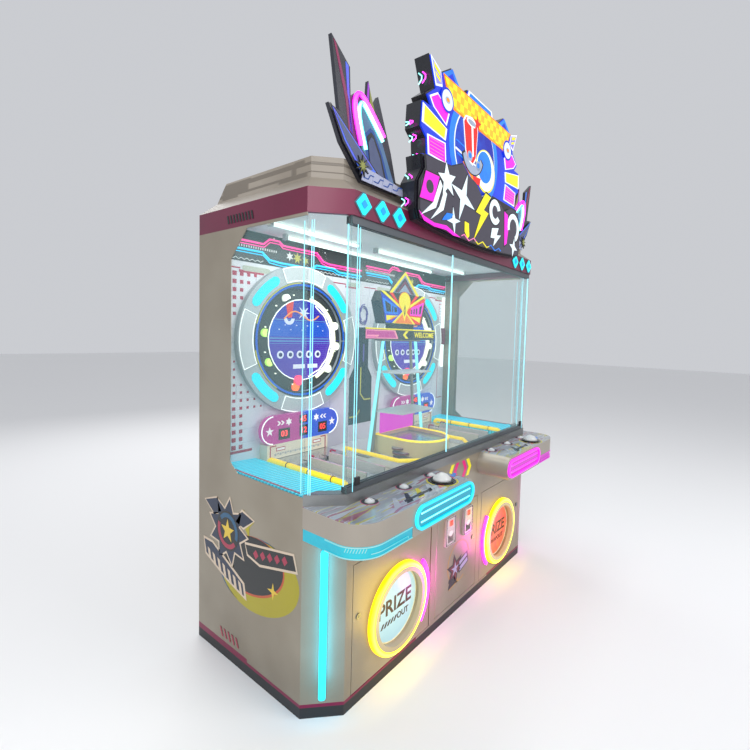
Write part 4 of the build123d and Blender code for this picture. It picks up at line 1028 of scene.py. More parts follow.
vinyl_olive = coated("vinyl_olive", "A69B12", "94890C", 0.3)
vinyl_black = coated("vinyl_black", "14181A", "1D2325", 0.28)
vinyl_orange = coated("vinyl_orange", "B8522A", "A34722", 0.3)
vinyl_blue = coated("vinyl_blue", "1F567A", "17425F", 0.3)
vinyl_navy = coated("vinyl_navy", "17243C", "1E2E4A", 0.3)
vinyl_red = coated("vinyl_red", "A22C48", "8A223B", 0.3)
vinyl_cream = coated("vinyl_cream", "CDBBA6", "BDAA94", 0.35)
vinyl_yellow = coated("vinyl_yellow", "D8B93A", "C9A92E", 0.3)
side_art = [
    (1, vinyl_olive, tilted_disc(-40, 505, 300, 172, -12)),
    (1, vinyl_blue, tilted_disc(-16, 512, 298, 170, -12)),
    (2, vinyl_olive, tilted_disc(-32, 508, 296, 168, -12)),
    (3, vinyl_orange, tilted_disc(12, 540, 254, 140, -12)),
    (4, vinyl_black, tilted_disc(16, 544, 248, 134, -12)),
    (4, vinyl_olive, burst(48, 730, 66, 28, 4, 70)),
    (4, vinyl_olive, burst(190, 470, 54, 24, 4, 60)),
    (5, vinyl_yellow, burst(-158, 482, 40, 12, 4)),
    (5, vinyl_cream, burst(204, 650, 178, 116, 9, 96)),
    (6, vinyl_navy, burst(204, 650, 162, 104, 9, 96)),
    (7, vinyl_black, disc(204, 650, 98, 30)),
    (8, vinyl_blue, sector(204, 650, 66, 88, 40, 200)),
    (8, vinyl_red, sector(204, 650, 66, 88, 220, 380)),
    (9, vinyl_yellow, burst(204, 650, 58, 24, 5)),
    (5, vinyl_cream, [(420, 760), (300, 800), (250, 730), (330, 700)]),
    (6, vinyl_navy, [(408, 758), (302, 790), (262, 732), (330, 708)]),
    (5, vinyl_cream, [(-20, 760), (84, 790), (148, 716), (70, 694)]),
    (6, vinyl_navy, [(-8, 756), (84, 778), (136, 716), (72, 704)]),
    (5, vinyl_cream, [(430, 560), (410, 470), (210, 400), (40, 360), (60, 440), (200, 500), (340, 560)]),
    (6, vinyl_navy, [(420, 548), (400, 480), (210, 412), (60, 376), (74, 430), (206, 488), (344, 548)]),
    (5, vinyl_cream, [(60, 640), (-300, 700), (-326, 620), (-60, 560), (40, 580)]),
    (6, vinyl_black, [(52, 630), (-292, 688), (-314, 628), (-60, 572), (34, 590)]),
]
side_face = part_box("side_panels")[1].x / mm
for s in (-1, 1):
    for layer, finish, outline in side_art:
        outer = s * (side_face + 0.25 * layer)
        cut_sheet("side_sticker", outline, "side", outer - s * 0.4, outer, finish)
    outer = s * (side_face + 2.0)
    slashes = [[(u, v), (u - 22, v - 8), (u - 6, v + 44), (u + 16, v + 52)]
               for u, v in ((372 - 46 * number, 462 - 13 * number) for number in range(7))]
    cut_sheets("side_sticker", slashes, "side", outer - s * 0.5, outer, vinyl_cream)
    gems = [[(u, v + 22), (u - 20, v), (u, v - 22), (u + 20, v)]
            for u, v in ((-30 - 52 * number, 608 + 10 * number) for number in range(5))]
    cut_sheets("side_sticker", gems, "side", outer - s * 0.5, outer, vinyl_red)
    foot_bars = [[(u, 98), (u - 12, 98), (u + 8, 142), (u + 20, 142)]
                 for u in (250 - 34 * n for n in range(5))]
    cut_sheets("side_sticker", foot_bars, "side", outer - s * 0.5, outer, vinyl_red)
    header_bars = [[(u, 2122), (u - 12, 2122), (u - 2, 2160), (u + 10, 2160)]
                   for u in (214 - 24 * number for number in range(9))]
    cut_sheets("header_bars", header_bars, "side", outer - s * 1.0, outer, vinyl_black)


# ---------- lit interior
# The play space is lit by white tubes under the ceiling and a tube at the right rear corner, with a
# zigzag LED strip along the front edge. Two shielded lamps stand for their even light.
for number, x in enumerate((-0.52, 0.52)):
    bpy.ops.object.light_add(type="AREA", location=(x, -0.05, 2.12))
    lamp = bpy.context.object
    lamp.name = "ceiling_lamp_" + str(number)
    lamp.data.shape = "RECTANGLE"
    lamp.data.size = 0.85
    lamp.data.size_y = 0.4
    lamp.data.energy = 6.0
    lamp.data.color = (0.96, 1.0, 0.98)
    lamp.visible_camera = False

white_tube = lit("white_tube", "FFFFFF", "DDF6EC", 1.3)
strip_light = lit("zigzag_strip", "FFFFF4", "FFFCE0", 2.2)
tube_socket = coated("tube_socket", "B9BEBE", "A2A8A8", 0.4)
ceiling_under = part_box("ceiling_panel")[0].z / mm
for x_start, x_end, y in ((-180, 880, 60), (-930, -330, 60), (-700, 700, 250)):
    bent_tube("ceiling_tube", [(x_start, y, ceiling_under - 16), (x_end, y, ceiling_under - 16)], 11,
              white_tube)
    for x in (x_start, x_end):
        rounded_bar("ceiling_tube_socket", (x - 9, y - 15, ceiling_under - 30),
                    (x + 9, y + 15, ceiling_under), 2.0, tube_socket)
strip_x = [-940 + 26 * step for step in range(30)]
strip_cells = [[(x, -400), (x + 14, -400), (x + 30, -350), (x + 16, -350)] for x in strip_x]
cut_sheets("front_zigzag_strip", strip_cells, "top", ceiling_under - 6, ceiling_under - 2, strip_light)
strip_y = [-330 + 26 * step for step in range(22)]
strip_cells = [[(-990, y), (-990, y + 12), (-962, y + 24), (-962, y + 12)] for y in strip_y]
cut_sheets("side_zigzag_strip", strip_cells, "top", ceiling_under - 6, ceiling_under - 2, strip_light)
bent_tube("corner_tube", [(992, 312, 1370), (992, 312, 1960)], 13, white_tube)
maroon_label = coated("maroon_label", "7C1B45", "5F1235", 0.35)
rounded_bar("corner_tube_label", (974, 294, 1560), (1010, 330, 1700), 4.0, maroon_label)


# ---------- back wall
# White printed board. Dots fade out from its left edge, a black strip with neon-coloured traces
# runs under the ceiling, and a dark panel with yellow angular lines fills the middle.
def wall_finish():
    """Pale lilac-white board with faint circuit shapes."""
    finish, tree, shader, place, wear = new_finish("wall_board", 400.0)
    stretch = add(tree, "Mapping", {"Vector": place, "Scale": (5.0, 5.0, 9.0)})
    shapes = add(tree, "TexVoronoi", {"Vector": stretch.outputs[0], "Scale": 1.0}, distance="CHEBYCHEV")
    faint = between(tree, shapes.outputs["Distance"], 0.30, 0.34)
    tone = mixed(tree, wear["Cloud"], shade("E4E6EC"), shade("D2D3DD"))
    tone = mixed(tree, times(tree, faint, 0.35), tone, shade("A9A6BC"))
    feed(shader, "Base Color", tone)
    uneven_gloss(tree, shader, wear, 0.3, 0.42)
    return finish


dress(wall_finish(), "playfield_wall")
wall_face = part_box("playfield_wall")[0].y / mm
strip_black = coated("strip_black", "1B1C22", "2A2A33", 0.3)
print_maroon = coated("print_maroon", "B3174A", "9C1541", 0.35)
print_grey = coated("print_grey", "A6ABAF", "93999E", 0.35)
print_sage = coated("print_sage", "B7BDAE", "A3AA9A", 0.35)
print_violet = coated("print_violet", "5B4C9A", "6C5CB0", 0.35)
print_yellow = coated("print_yellow", "C9C24A", "B5AE3C", 0.35)
print_navy = coated("print_navy", "141A2C", "1D2740", 0.3)
print_white = coated("print_white", "F4F5F3", "E4E6E4", 0.3)
trace_magenta = lit("trace_magenta", "FF62B4", "FF2F9A", 0.9)
trace_cyan = lit("trace_cyan", "4FD8FF", "18B8F0", 0.9)


def wall_print(layer, finish, *outlines):
    """Prints on the back wall, by layer."""
    near = wall_face - 0.5 * layer
    cut_sheets("wall_print", outlines, "front", near - 0.5, near + 0.3, finish)


def plate(x_low, x_high, z_low, z_high):
    """Rectangular outline."""
    return [(x_low, z_low), (x_high, z_low), (x_high, z_high), (x_low, z_high)]


dots = []
for column in range(8):
    for row in range(23):
        x = -1028 + 40 * column
        z = 1016 + 41 * row
        far_out = math.hypot(x + 525, z - 1582) > 436
        half = (15.0 - 1.3 * column) * (0.4 + 0.6 * abs(z - 1480) / 480)
        if far_out and half > 2.5 and not (x > -870 and z < 1190):
            dots.append(plate(x - half, x + half, z - half, z + half))
wall_print(1, print_maroon, *dots)
hatch_rows = [plate(962, 1036, 1480 + 24 * row, 1486 + 24 * row) for row in range(17)]
wall_print(1, print_grey, *hatch_rows)
wall_print(1, print_maroon, plate(952, 957, 1100, 1900), plate(952, 1036, 1900, 1906),
           plate(952, 1036, 1100, 1106))
wall_print(1, strip_black, [(-1036, 1983), (1036, 1983), (1036, 2146), (-1036, 2146)])
wall_print(1, print_navy, [(-112, 1014), (112, 1014), (112, 1330), (70, 1400), (70, 1600), (-70, 1600),
                           (-70, 1400), (-112, 1330)])
wall_print(2, print_yellow, [(-104, 1060), (-40, 1060), (-4, 1100), (-4, 1110), (-46, 1070),
                             (-104, 1070)], [(104, 1180), (40, 1180), (4, 1220), (4, 1400), (-6, 1400),
                                             (-6, 1216), (36, 1170), (104, 1170)])
wall_print(2, print_violet, plate(-60, -48, 1440, 1560), plate(-30, -20, 1420, 1570),
           plate(16, 30, 1440, 1560))
for start in (-1036, 16):
    wall_print(1, print_maroon, plate(start, start + 120, 1944, 1951),
               plate(start + 112, start + 260, 1926, 1940), plate(start + 700, start + 880, 1944, 1951),
               plate(start + 872, start + 980, 1926, 1940))
    wall_print(2, print_sage, oval(start + 130, start + 300, 1936, 1964),
               oval(start + 890, start + 1010, 1936, 1964))
wall_print(1, print_maroon, plate(-1036, -840, 984, 998))
for middle in (-525, 525):
    magenta_run = [(-500, 2090), (-260, 2090), (-222, 2122), (-160, 2122), (-134, 2104), (110, 2104),
                   (160, 2062), (206, 2052), (500, 2052)]
    cyan_run = [(-500, 2046), (-266, 2046), (-222, 2012), (-150, 2006), (70, 2006), (108, 2030),
                (250, 2030), (296, 2014), (500, 2014)]
    for run, finish in ((magenta_run, trace_magenta), (cyan_run, trace_cyan)):
        bent_tube("strip_trace", [(middle + x, wall_face - 7, z) for x, z in run], 6.0, finish)
        bent_tube("strip_trace_thin", [(middle + x * 0.98, wall_face - 5, z - 15) for x, z in run], 3.0,
                  finish)
    for first, last in ((-500, -250), (120, 500)):
        zigzag = [(middle + x, wall_face - 4, 1992 + (9 if (x // 16) % 2 else 0))
                  for x in range(first, last, 16)]
        bent_tube("strip_zigzag", zigzag, 2.2, print_white)
    ticks = [plate(middle - 500 + 14 * step, middle - 494 + 14 * step, 2058, 2070) for step in range(24)]
    wall_print(2, print_white, *ticks)
    wall_print(3, print_yellow, burst(middle - 30, 2052, 34, 15, 7), burst(middle + 30, 2046, 26, 11, 6))
    wall_print(3, print_white, burst(middle - 84, 2054, 26, 12, 6),
               arc_points(middle - 190, 2132, 5, 0, 320, 8),
               arc_points(middle + 180, 2118, 5, 0, 320, 8))
for angle in (0, 72, 144, 216, 288):
    swirl = [(10 + 46 * math.cos(math.radians(angle + a)) * (1 - a / 420), wall_face - 3,
              1760 + 74 * math.sin(math.radians(angle + a)) * (1 - a / 420)) for a in range(0, 170, 20)]
    bent_tube("wall_swirl", swirl, 3.0, print_violet, smooth=True)


# ---------- round displays
# Grey moulded bezels around a peg ring and a round screen. Four diagonal windows are lit cyan; the ring
# holds white plastic bumps and a curved pipe that the balls run down. The pegs, bumps and pipe glow by
# emission: painted light on plastic that is no lamp.
def screen_finish():
    """Dark screen showing an indigo board with light bands."""
    finish, tree, shader, place, wear = new_finish("round_screen", 120.0)
    x, y, z = split(tree, place)
    colour = mixed(tree, ranged(tree, z, 1.36, 1.80), shade("5A12B8"), shade("2A1CD0"))
    colour = mixed(tree, between(tree, z, 1.600, 1.690), colour, shade("0A66F0"))
    wave = figure(tree, "SINE", times(tree, z, 520.0))
    colour = mixed(tree, times(tree, ranged(tree, wave, 0.7, 1.0), 0.25), colour, shade("58A8FF"))
    for low, high in ((1.572, 1.578), (1.588, 1.594), (1.694, 1.698), (1.560, 1.562)):
        colour = mixed(tree, times(tree, between(tree, z, low, high), 0.8), colour, shade("6FD0FF"))
    colour = mixed(tree, times(tree, wear["Cloud"], 0.3), colour, shade("7A3CF0"))
    feed(shader, "Emission Color", colour)
    feed(shader, "Emission Strength", 0.85)
    feed(shader, "Base Color", shade("080A14"))
    feed(shader, "Roughness", 0.15)
    return finish


dress(coated("bezel_moulding", "A9B2B6", "98A2A7", 0.32, 0.15), "display_bezels")
dress(screen_finish(), "display_screens")
bezel_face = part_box("display_bezels")[0].y / mm
screen_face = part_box("display_screens")[0].y / mm
bezel_plate = coated("bezel_plate", "BFC6C8", "ADB5B8", 0.3, 0.15)
bezel_cyan = backlit("bezel_cyan", "06DDF2", "22EEFF", 1.15)
ring_blue = backlit("ring_blue", "1060E0", "0C7CF0", 0.7)
ring_black = coated("ring_black", "191B20", "24272D", 0.3)
ring_yellow = backlit("ring_yellow", "D8D83C", "B8C43A", 0.6)
peg_dark = coated("peg_dark", "26292B", "33383A", 0.4)
# Painted light: the plastic pegs, bumps and ball pipe are given a glow of their own.
bump_white_painted_glow = lit("bump_white_painted_glow", "FFFFF2", "E8F0DC", 0.75)
bump_green_painted_glow = lit("bump_green_painted_glow", "D8FF9C", "A8F048", 0.9)
pipe_cream_painted_glow = lit("pipe_cream_painted_glow", "FFFFF0", "ECE9C8", 0.7)
token_red = lit("token_red", "FF4A7C", "F02060", 0.9)
token_orange = lit("token_orange", "FF8A3C", "FF5A14", 0.9)
outline_white = lit("outline_white", "FFFFFF", "E8F4F0", 0.8)
screen_orange = backlit("screen_orange", "FF9A2E", "FFC04A", 0.9)
screen_red = backlit("screen_red", "E82A2E", "C81A22", 0.8)
screen_pale = backlit("screen_pale", "DCE8FF", "F4F4FF", 0.85)
screen_night = backlit("screen_night", "1A0E70", "26148A", 0.5)
middle_z = 1582.0


def around(middle, radius, angle):
    """Point on a circle about a display's middle."""
    turn = math.radians(angle)
    return middle + radius * math.cos(turn), middle_z + radius * math.sin(turn)


for middle in (-525.0, 525.0):
    windows = []
    for angle in (45, 135, 225, 315):
        windows.append(arc_points(middle, middle_z, 402, angle - 13, angle + 13, 9)
                       + [around(middle, 392, angle + 16), around(middle, 375, angle + 17),
                          around(middle, 360, angle + 16)]
                       + arc_points(middle, middle_z, 349, angle + 13, angle - 13, 9)
                       + [around(middle, 360, angle - 16), around(middle, 375, angle - 17),
                          around(middle, 392, angle - 16)])
    cut_sheets("bezel_window", windows, "front", bezel_face - 3, bezel_face, bezel_cyan)
    plates = [sector(middle, middle_z, 340, 418, angle - 22, angle + 22, 12)
              for angle in (0, 90, 180, 270)]
    cut_sheets("bezel_plate", plates, "front", bezel_face - 4, bezel_face, bezel_plate)
    for outline in plates:
        bent_tube("bezel_plate_outline", [(x, bezel_face - 4, z) for x, z in outline], 2.4,
                  outline_white, closed=True)
    rings = [(0, ring_black, 300, 332, 0, 359), (1, ring_blue, 312, 324, 0, 359),
             (2, ring_yellow, 324, 330, 95, 165), (2, ring_yellow, 324, 330, 190, 235),
             (2, ring_yellow, 324, 330, 300, 345), (2, ring_yellow, 324, 330, 10, 50)]
    for layer, finish, inner, outer, start, end in rings:
        cut_sheet("bezel_ring", sector(middle, middle_z, inner, outer, start, end, 40), "front",
                  bezel_face - 1.5 - layer, bezel_face - layer + 0.5, finish)
    near = screen_face - 4
    cut_sheet("peg_ring", sector(middle, middle_z, 232, 298, 0, 359.5, 48), "front", near, near + 3,
              peg_dark)
    pegs = [arc_points(*around(middle, 264, 15 + 30 * number), 4.2, 0, 330, 8) for number in range(12)]
    cut_sheets("peg", pegs, "front", near - 9, near, bump_white_painted_glow)
    bumps = [arc_points(*around(middle, 262, angle), 24, angle - 110, angle + 110, 12)
             for angle in (118, 20, 352, 318)]
    cut_sheets("peg_bump", bumps, "front", near - 18, near, bump_white_painted_glow)
    bumps = [arc_points(*around(middle, 262, angle), 22, angle - 110, angle + 110, 12)
             for angle in (172, 208)]
    cut_sheets("peg_bump_green", bumps, "front", near - 18, near, bump_green_painted_glow)
    cut_sheet("peg_token", arc_points(*around(middle, 236, 263), 30, 0, 350, 20), "front", near - 14,
              near, token_red)
    cut_sheet("peg_token", arc_points(*around(middle, 276, 260), 26, 0, 350, 18), "front", near - 10,
              near, token_orange)
    run = [around(middle, 246, angle) for angle in range(78, -76, -11)]
    bent_tube("ball_pipe", [(x, near - 8, z) for x, z in run], 9.0, pipe_cream_painted_glow,
              smooth=True)
    run = [around(middle, 222 - 10 * (number % 2), 66 - 12 * number) for number in range(13)]
    bent_tube("ball_pipe_inner", [(x, near - 6, z) for x, z in run], 4.0, pipe_cream_painted_glow,
              smooth=True)
    ring_line = [around(middle, 234, angle) for angle in range(80, 440, 12)]
    bent_tube("screen_rim", [(x, near - 2, z) for x, z in ring_line], 3.0, outline_white,
              closed=True)
    swing = [(middle - 130 + 18 * step, near - 1, 1700 + 34 * math.sin(step * 0.42) + 3 * step)
             for step in range(15)]
    bent_tube("screen_swing", swing, 4.0, screen_orange, smooth=True)
    layer = near + 2
    cut_sheet("screen_picture", [(middle - 118, 1800), (middle - 62, 1812), (middle - 74, 1712),
                                 (middle - 100, 1706)], "front", layer - 1, layer + 3, screen_red)
    cut_sheet("screen_picture", sector(middle - 92, 1704, 16, 36, 180, 360, 12), "front", layer - 1,
              layer + 3, screen_pale)
    cut_sheet("screen_picture", burst(middle + 10, 1740, 46, 16, 8), "front", layer - 1, layer + 3,
              screen_pale)
    tokens = [arc_points(middle - 150 + 68 * number, 1498, 22, 0, 340, 16) for number in range(5)]
    cut_sheets("screen_token", tokens, "front", layer - 1, layer + 3, screen_pale)
    tokens = [arc_points(middle - 150 + 68 * number, 1498, 12, 0, 340, 12) for number in range(5)]
    cut_sheets("screen_token_core", tokens, "front", layer - 2, layer + 2, screen_night)
    slots = [plate(middle - 60, middle + 24, 1416, 1440), plate(middle + 46, middle + 120, 1416, 1440)]
    cut_sheets("screen_slot", slots, "front", layer - 1, layer + 3, screen_pale)
    sparks = [arc_points(middle - 160 + 40 * number, 1640 + 26 * (number % 2), 3.5, 0, 300, 6)
              for number in range(9)]
    cut_sheets("screen_spark", sparks, "front", layer - 1, layer + 3, screen_pale)


# ---------- score boards and coin walls
# Two-lobed backlit score boards with red number displays stand over the cream coin walls. The
# walls are painted board with maroon corner brackets and small printed tags.
def board_finish():
    """Backlit acrylic, magenta on the left lobe and blue on the right."""
    finish, tree, shader, place, wear = new_finish("score_board", 26.0)
    x, y, z = split(tree, place)
    right = figure(tree, "ADD", between(tree, x, -0.552, 0.0), figure(tree, "GREATER_THAN", x, 0.552))
    colour = mixed(tree, right, shade("B8148C"), shade("0858D0"))
    colour = mixed(tree, times(tree, wear["Fleck"], 0.12), colour, shade("B46CE0"))
    feed(shader, "Emission Color", colour)
    feed(shader, "Emission Strength", 0.7)
    feed(shader, "Base Color", mixed(tree, 0.6, colour, shade("101018")))
    feed(shader, "Roughness", 0.25)
    return finish


dress(board_finish(), "jackpot_boards")
board_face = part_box("jackpot_boards")[0].y / mm
digit_red = lit("digit_red", "FF5050", "FF1414", 1.4)
digit_black = coated("digit_black", "101014", "1A1A20", 0.25)
board_white = backlit("board_white", "FFFFFF", "E8ECFF", 0.8)
for s in (-1, 1):
    middle = s * 552.0
    boxes = [plate(middle - 168, middle - 92, 1030, 1092), plate(middle - 24, middle + 34, 1030, 1092),
             plate(middle + 116, middle + 184, 1030, 1092), plate(middle - 26, middle + 30, 1104, 1150)]
    cut_sheets("board_window", boxes, "front", board_face - 2, board_face, digit_black)
    for text, x, z in (("03", -130, 1061), ("12", 5, 1061), ("05", 150, 1061), ("45", 2, 1127)):
        lettering("board_digits", text, 46, middle + x, board_face - 3, z, digit_red, "cabinet")
    marks = []
    for side in (-1, 1):
        for step in range(2):
            x = middle + side * (168 - 24 * step)
            marks.append([(x, 1136), (x + side * 10, 1136), (x - side * 4, 1124), (x + side * 10, 1112),
                          (x, 1112), (x - side * 14, 1124)])
        marks.append(burst(middle + side * 100, 1124, 22, 12, 6))
        marks.append(burst(middle + side * 226, 1084, 26, 10, 5))
    cut_sheets("board_mark", marks, "front", board_face - 2, board_face, board_white)
    for lobe, start, end in ((-1, 95, 265), (1, -85, 85)):
        rim = arc_points(middle + lobe * 199, 1089, 76, start, end, 16)
        bent_tube("board_rim", [(x, board_face - 1, z) for x, z in rim], 3.0, outline_white)

dress(coated("cream_wall", "E6DCC6", "D8CDB4", 0.35), "coin_walls")
coin_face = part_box("coin_walls")[0].y / mm
wall_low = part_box("coin_walls")[0].z / mm
for s in (-1, 1):
    middle = s * 575.0
    brackets = []
    for side in (-1, 1):
        x = middle + side * 200
        brackets.append([(x, 1004), (x, wall_low + 4), (x - side * 6, wall_low + 4), (x - side * 6, 998),
                         (x - side * 40, 998), (x - side * 40, 1004)])
    brackets += [plate(middle - 160, middle - 100, 970, 990),
                 plate(middle + 100, middle + 160, 970, 990)]
    cut_sheets("wall_bracket", brackets, "front", coin_face - 1.5, coin_face, print_maroon)
    tags = [plate(middle - 156, middle - 104, 974, 986), plate(middle + 104, middle + 156, 974, 986)]
    cut_sheets("wall_tag", tags, "front", coin_face - 2.2, coin_face, print_white)
    lines = [plate(middle - 170 + 17 * step, middle - 158 + 17 * step, 946 + 6 * (step % 2), 958)
             for step in range(20)]
    cut_sheets("wall_tag_line", lines, "front", coin_face - 1.2, coin_face, print_grey)


# ---------- coin lanes
# Brushed lane beds and pusher blocks between low grey walls with pale pink top edges and maroon posts.
# Yellow plastic pipes guard the lanes, and ribbed cyan shelves fill the sides. The pipes and shelves
# glow by emission, painted light on plastic, the shelf ribs are painted lighter and darker, and the
# walls carry painted shade at their feet.
def bed_finish():
    """Grey laminate whose wall tops are pale pink; the walls carry painted shade, darker towards the
    bed.
    """
    finish, tree, shader, place, wear = new_finish("lane_laminate", 500.0)
    x, y, z = split(tree, place)
    tone = mixed(tree, wear["Cloud"], shade("C3C5C9"), shade("B2B5BA"))
    # Painted shade: the lane walls darken towards their feet where they meet the bed.
    side = mixed(tree, ranged(tree, z, 0.91, 0.95), shade("C8C5C0"), shade("D6D2CA"))
    tone = mixed(tree, figure(tree, "GREATER_THAN", z, 0.906), tone, side)
    tone = mixed(tree, figure(tree, "GREATER_THAN", z, 0.9535), tone, shade("E8C4CE"))
    feed(shader, "Base Color", tone)
    uneven_gloss(tree, shader, wear, 0.2, 0.32)
    feed(shader, "Metallic", 0.3)
    return finish


def shelf_painted_light_finish():
    """Cyan ribbed plastic whose emission is painted light from above; its ribs are painted lighter and
    darker in colour along with their bumps.
    """
    finish, tree, shader, place, wear = new_finish("ribbed_shelf_painted_light", 300.0)
    x, y, z = split(tree, place)
    # Painted light and shade: the ribs' colour goes lighter and darker with the same wave as their
    # bumps.
    wave = figure(tree, "SINE", times(tree, y, 260.0))
    colour = mixed(tree, ranged(tree, wave, -0.4, 0.9), shade("06A6C4"), shade("16D8F2"))
    feed(shader, "Base Color", colour)
    # Painted light: the shelf glows as if lit from above.
    feed(shader, "Emission Color", colour)
    feed(shader, "Emission Strength", 0.45)
    feed(shader, "Roughness", 0.3)
    bump = add(tree, "Bump", {"Strength": 0.5, "Distance": 0.004, "Height": wave})
    feed(shader, "Normal", bump.outputs[0])
    return finish


dress(coated("deck_laminate", "C9CACB", "B6B8BB", 0.3), "playfield_deck")
dress(bed_finish(), "pusher_beds")
dress(coated("pusher_steel", "C4C7CA", "AEB2B6", 0.22, 0.9), "pusher_left", "pusher_right")
dress(coated("crank_steel", "8B9096", "757A80", 0.3, 0.95), "crank_left", "crank_right")
dress(coated("motor_black", "202226", "2E3137", 0.4, 0.4), "gearmotors")
dress(shelf_painted_light_finish(), "side_shelves")
# Painted light: the yellow plastic guard pipes are given a glow of their own.
dress(lit("pipe_yellow_painted_glow", "FFE81A", "E6C400", 0.55), "guard_pipes")
lane_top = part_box("pusher_beds")[1].z / mm
pipe_clamp = coated("pipe_clamp", "2A2420", "3A322C", 0.4)
for s in (-1, 1):
    for wall in (-1, 1):
        x = s * 575.0 + wall * 79.0
        post = [(x, 86, lane_top - 24), (x, 86, lane_top + 6), (x, 78, lane_top + 12),
                (x, 46, lane_top + 12)]
        bent_tube("lane_post", post, 5.0, print_maroon)
    cut_sheets("shelf_edge_line", [[(s * 1030, -300), (s * 1022, -300), (s * 1022, 320),
                                    (s * 1030, 320)]], "top", 951, 953, print_maroon)
    for y in (-255, -90, 75):
        ring = [(s * 799.5 + 15.5 * math.cos(a), y, 945 + 15.5 * math.sin(a))
                for a in (2 * math.pi * step / 14 for step in range(14))]
        bent_tube("pipe_clip", ring, 2.5, pipe_clamp, closed=True)


# ---------- tower
# A welded stand of round legs carries two frosted shelves, a lettered light band and a pentagon light
# box. The outer legs glow cyan by emission, painted light on the steel, the inner ones are grey, and a
# magenta panel hangs low.
def painted_glow_tower_finish():
    """Outer legs glowing cyan by emission, painted light on the steel, and grey inner legs."""
    finish, tree, shader, place, wear = new_finish("tower_legs_painted_glow", 400.0)
    x, y, z = split(tree, place)
    # Painted light: the front legs glow cyan by emission.
    painted_glow_leg = times(tree, figure(tree, "LESS_THAN", y, 0.0075), between(tree, z, 0.909, 1.589))
    slant = add(tree, "LayerWeight", {"Blend": 0.5}).outputs["Facing"]
    glow = mixed(tree, ranged(tree, slant, 0.2, 0.8), shade("9CFFFF"), shade("10DCF0"))
    grey = mixed(tree, wear["Cloud"], shade("9C9690"), shade("857F79"))
    feed(shader, "Base Color", mixed(tree, painted_glow_leg, grey, shade("0C5A64")))
    feed(shader, "Emission Color", glow)
    feed(shader, "Emission Strength", times(tree, painted_glow_leg, 1.3))
    uneven_gloss(tree, shader, wear, 0.26, 0.36)
    return finish


def frosted_finish():
    """Frosted shelf plates; the low panel between the legs is lit magenta."""
    finish, tree, shader, place, wear = new_finish("frosted_shelf", 300.0)
    x, y, z = split(tree, place)
    low = figure(tree, "LESS_THAN", z, 1.15)
    pale = mixed(tree, wear["Cloud"], shade("C9CCCC"), shade("B5B9BA"))
    marks = ranged(tree, wear["Fleck"], 0.5, 0.56)
    magenta = mixed(tree, times(tree, marks, 0.3), shade("F010E0"), shade("A80CB4"))
    feed(shader, "Base Color", mixed(tree, low, pale, shade("5A0A58")))
    feed(shader, "Emission Color", magenta)
    feed(shader, "Emission Strength", times(tree, low, 0.95))
    uneven_gloss(tree, shader, wear, 0.3, 0.45)
    return finish


dress(painted_glow_tower_finish(), "tower_frame")
dress(frosted_finish(), "tower_shelves")
dress(coated("tower_sign_black", "16181F", "23262F", 0.3, coat=0.3), "tower_sign")
tower_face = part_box("tower_sign")[0].y / mm


def tower_print(layer, finish, *outlines):
    """Films on the front of the tower's sign, by layer."""
    near = tower_face - 1.0 * layer
    cut_sheets("tower_print", outlines, "front", near, near + 1.2, finish)


band_magenta = backlit("band_magenta", "D2309E", "E04CB4", 0.75)
tower_print(1, film_grey, plate(-352, 352, 1603, 1658))
tower_print(2, film_pink, [(-352, 1604), (-52, 1604), (-84, 1656), (-352, 1656)])
tower_print(3, band_magenta, [(-346, 1610), (-72, 1610), (-98, 1650), (-346, 1650)])
tower_print(4, film_pink, [(-346, 1614), (-250, 1614), (-236, 1626), (-340, 1626)])
tower_print(2, film_yellow, plate(-354, 354, 1659, 1667),
            [(-6, 1630), (26, 1606), (52, 1606), (20, 1630), (52, 1655), (26, 1655)])
tower_print(2, film_black, [(36, 1630), (62, 1610), (100, 1610), (100, 1650), (62, 1650)])
lettering("tower_word", "WELCOME", 46, 226, tower_face - 3, 1630, film_yellow, "cabinet")
tower_print(1, film_deep_blue, [(-228, 1878), (-176, 1702), (0, 1702), (0, 1800), (-60, 1812)])
tower_print(1, film_red, [(228, 1878), (176, 1702), (0, 1702), (0, 1800), (60, 1812)])
tower_print(2, film_blue, [(-214, 1850), (-186, 1756), (-60, 1756), (-74, 1806)])
tower_print(3, film_black, [(-192, 1832), (-174, 1768), (-132, 1768), (-138, 1812)],
            plate(-122, -112, 1766, 1804), [(-102, 1800), (-98, 1768), (-74, 1768), (-78, 1796)])
tower_print(2, film_magenta, [(214, 1850), (186, 1756), (60, 1756), (74, 1806)])
tower_print(3, film_black, [(192, 1830), (176, 1770), (160, 1770), (164, 1816)],
            plate(126, 138, 1766, 1806), plate(98, 110, 1766, 1800), plate(72, 82, 1766, 1792))
ray = [(-230, 1888), (-196, 1888), (-30, 1806), (-40, 1794)]
low_ray = [(-176, 1746), (-60, 1748), (-170, 1712)]
tower_print(2, film_yellow, ray, mirrored(ray), low_ray, mirrored(low_ray))
red_ray = [(-150, 1884), (-120, 1888), (-60, 1830), (-76, 1826)]
tower_print(2, film_red, red_ray, mirrored(red_ray), [(-140, 1734), (-70, 1746), (-130, 1716)])
tower_print(3, film_yellow, [(-120, 1700), (120, 1700), (0, 1790)])
tower_print(4, film_orange, [(-96, 1702), (96, 1702), (0, 1776)])
tower_print(4, film_orange, disc(0, 1838, 62, 28))
tower_print(5, film_yellow, disc(0, 1840, 56, 28))
tower_print(6, film_yellow, [(-30, 1790), (-16, 1830), (0, 1844), (16, 1830), (30, 1790), (0, 1716)])
tower_print(7, film_black, [(-12, 1784), (0, 1818), (12, 1784), (0, 1746)])
tower_print(8, film_yellow, [(-6, 1784), (0, 1802), (6, 1784), (0, 1764)])
tower_print(1, film_silver, [(-132, 1888), (0, 2014), (132, 1888)])
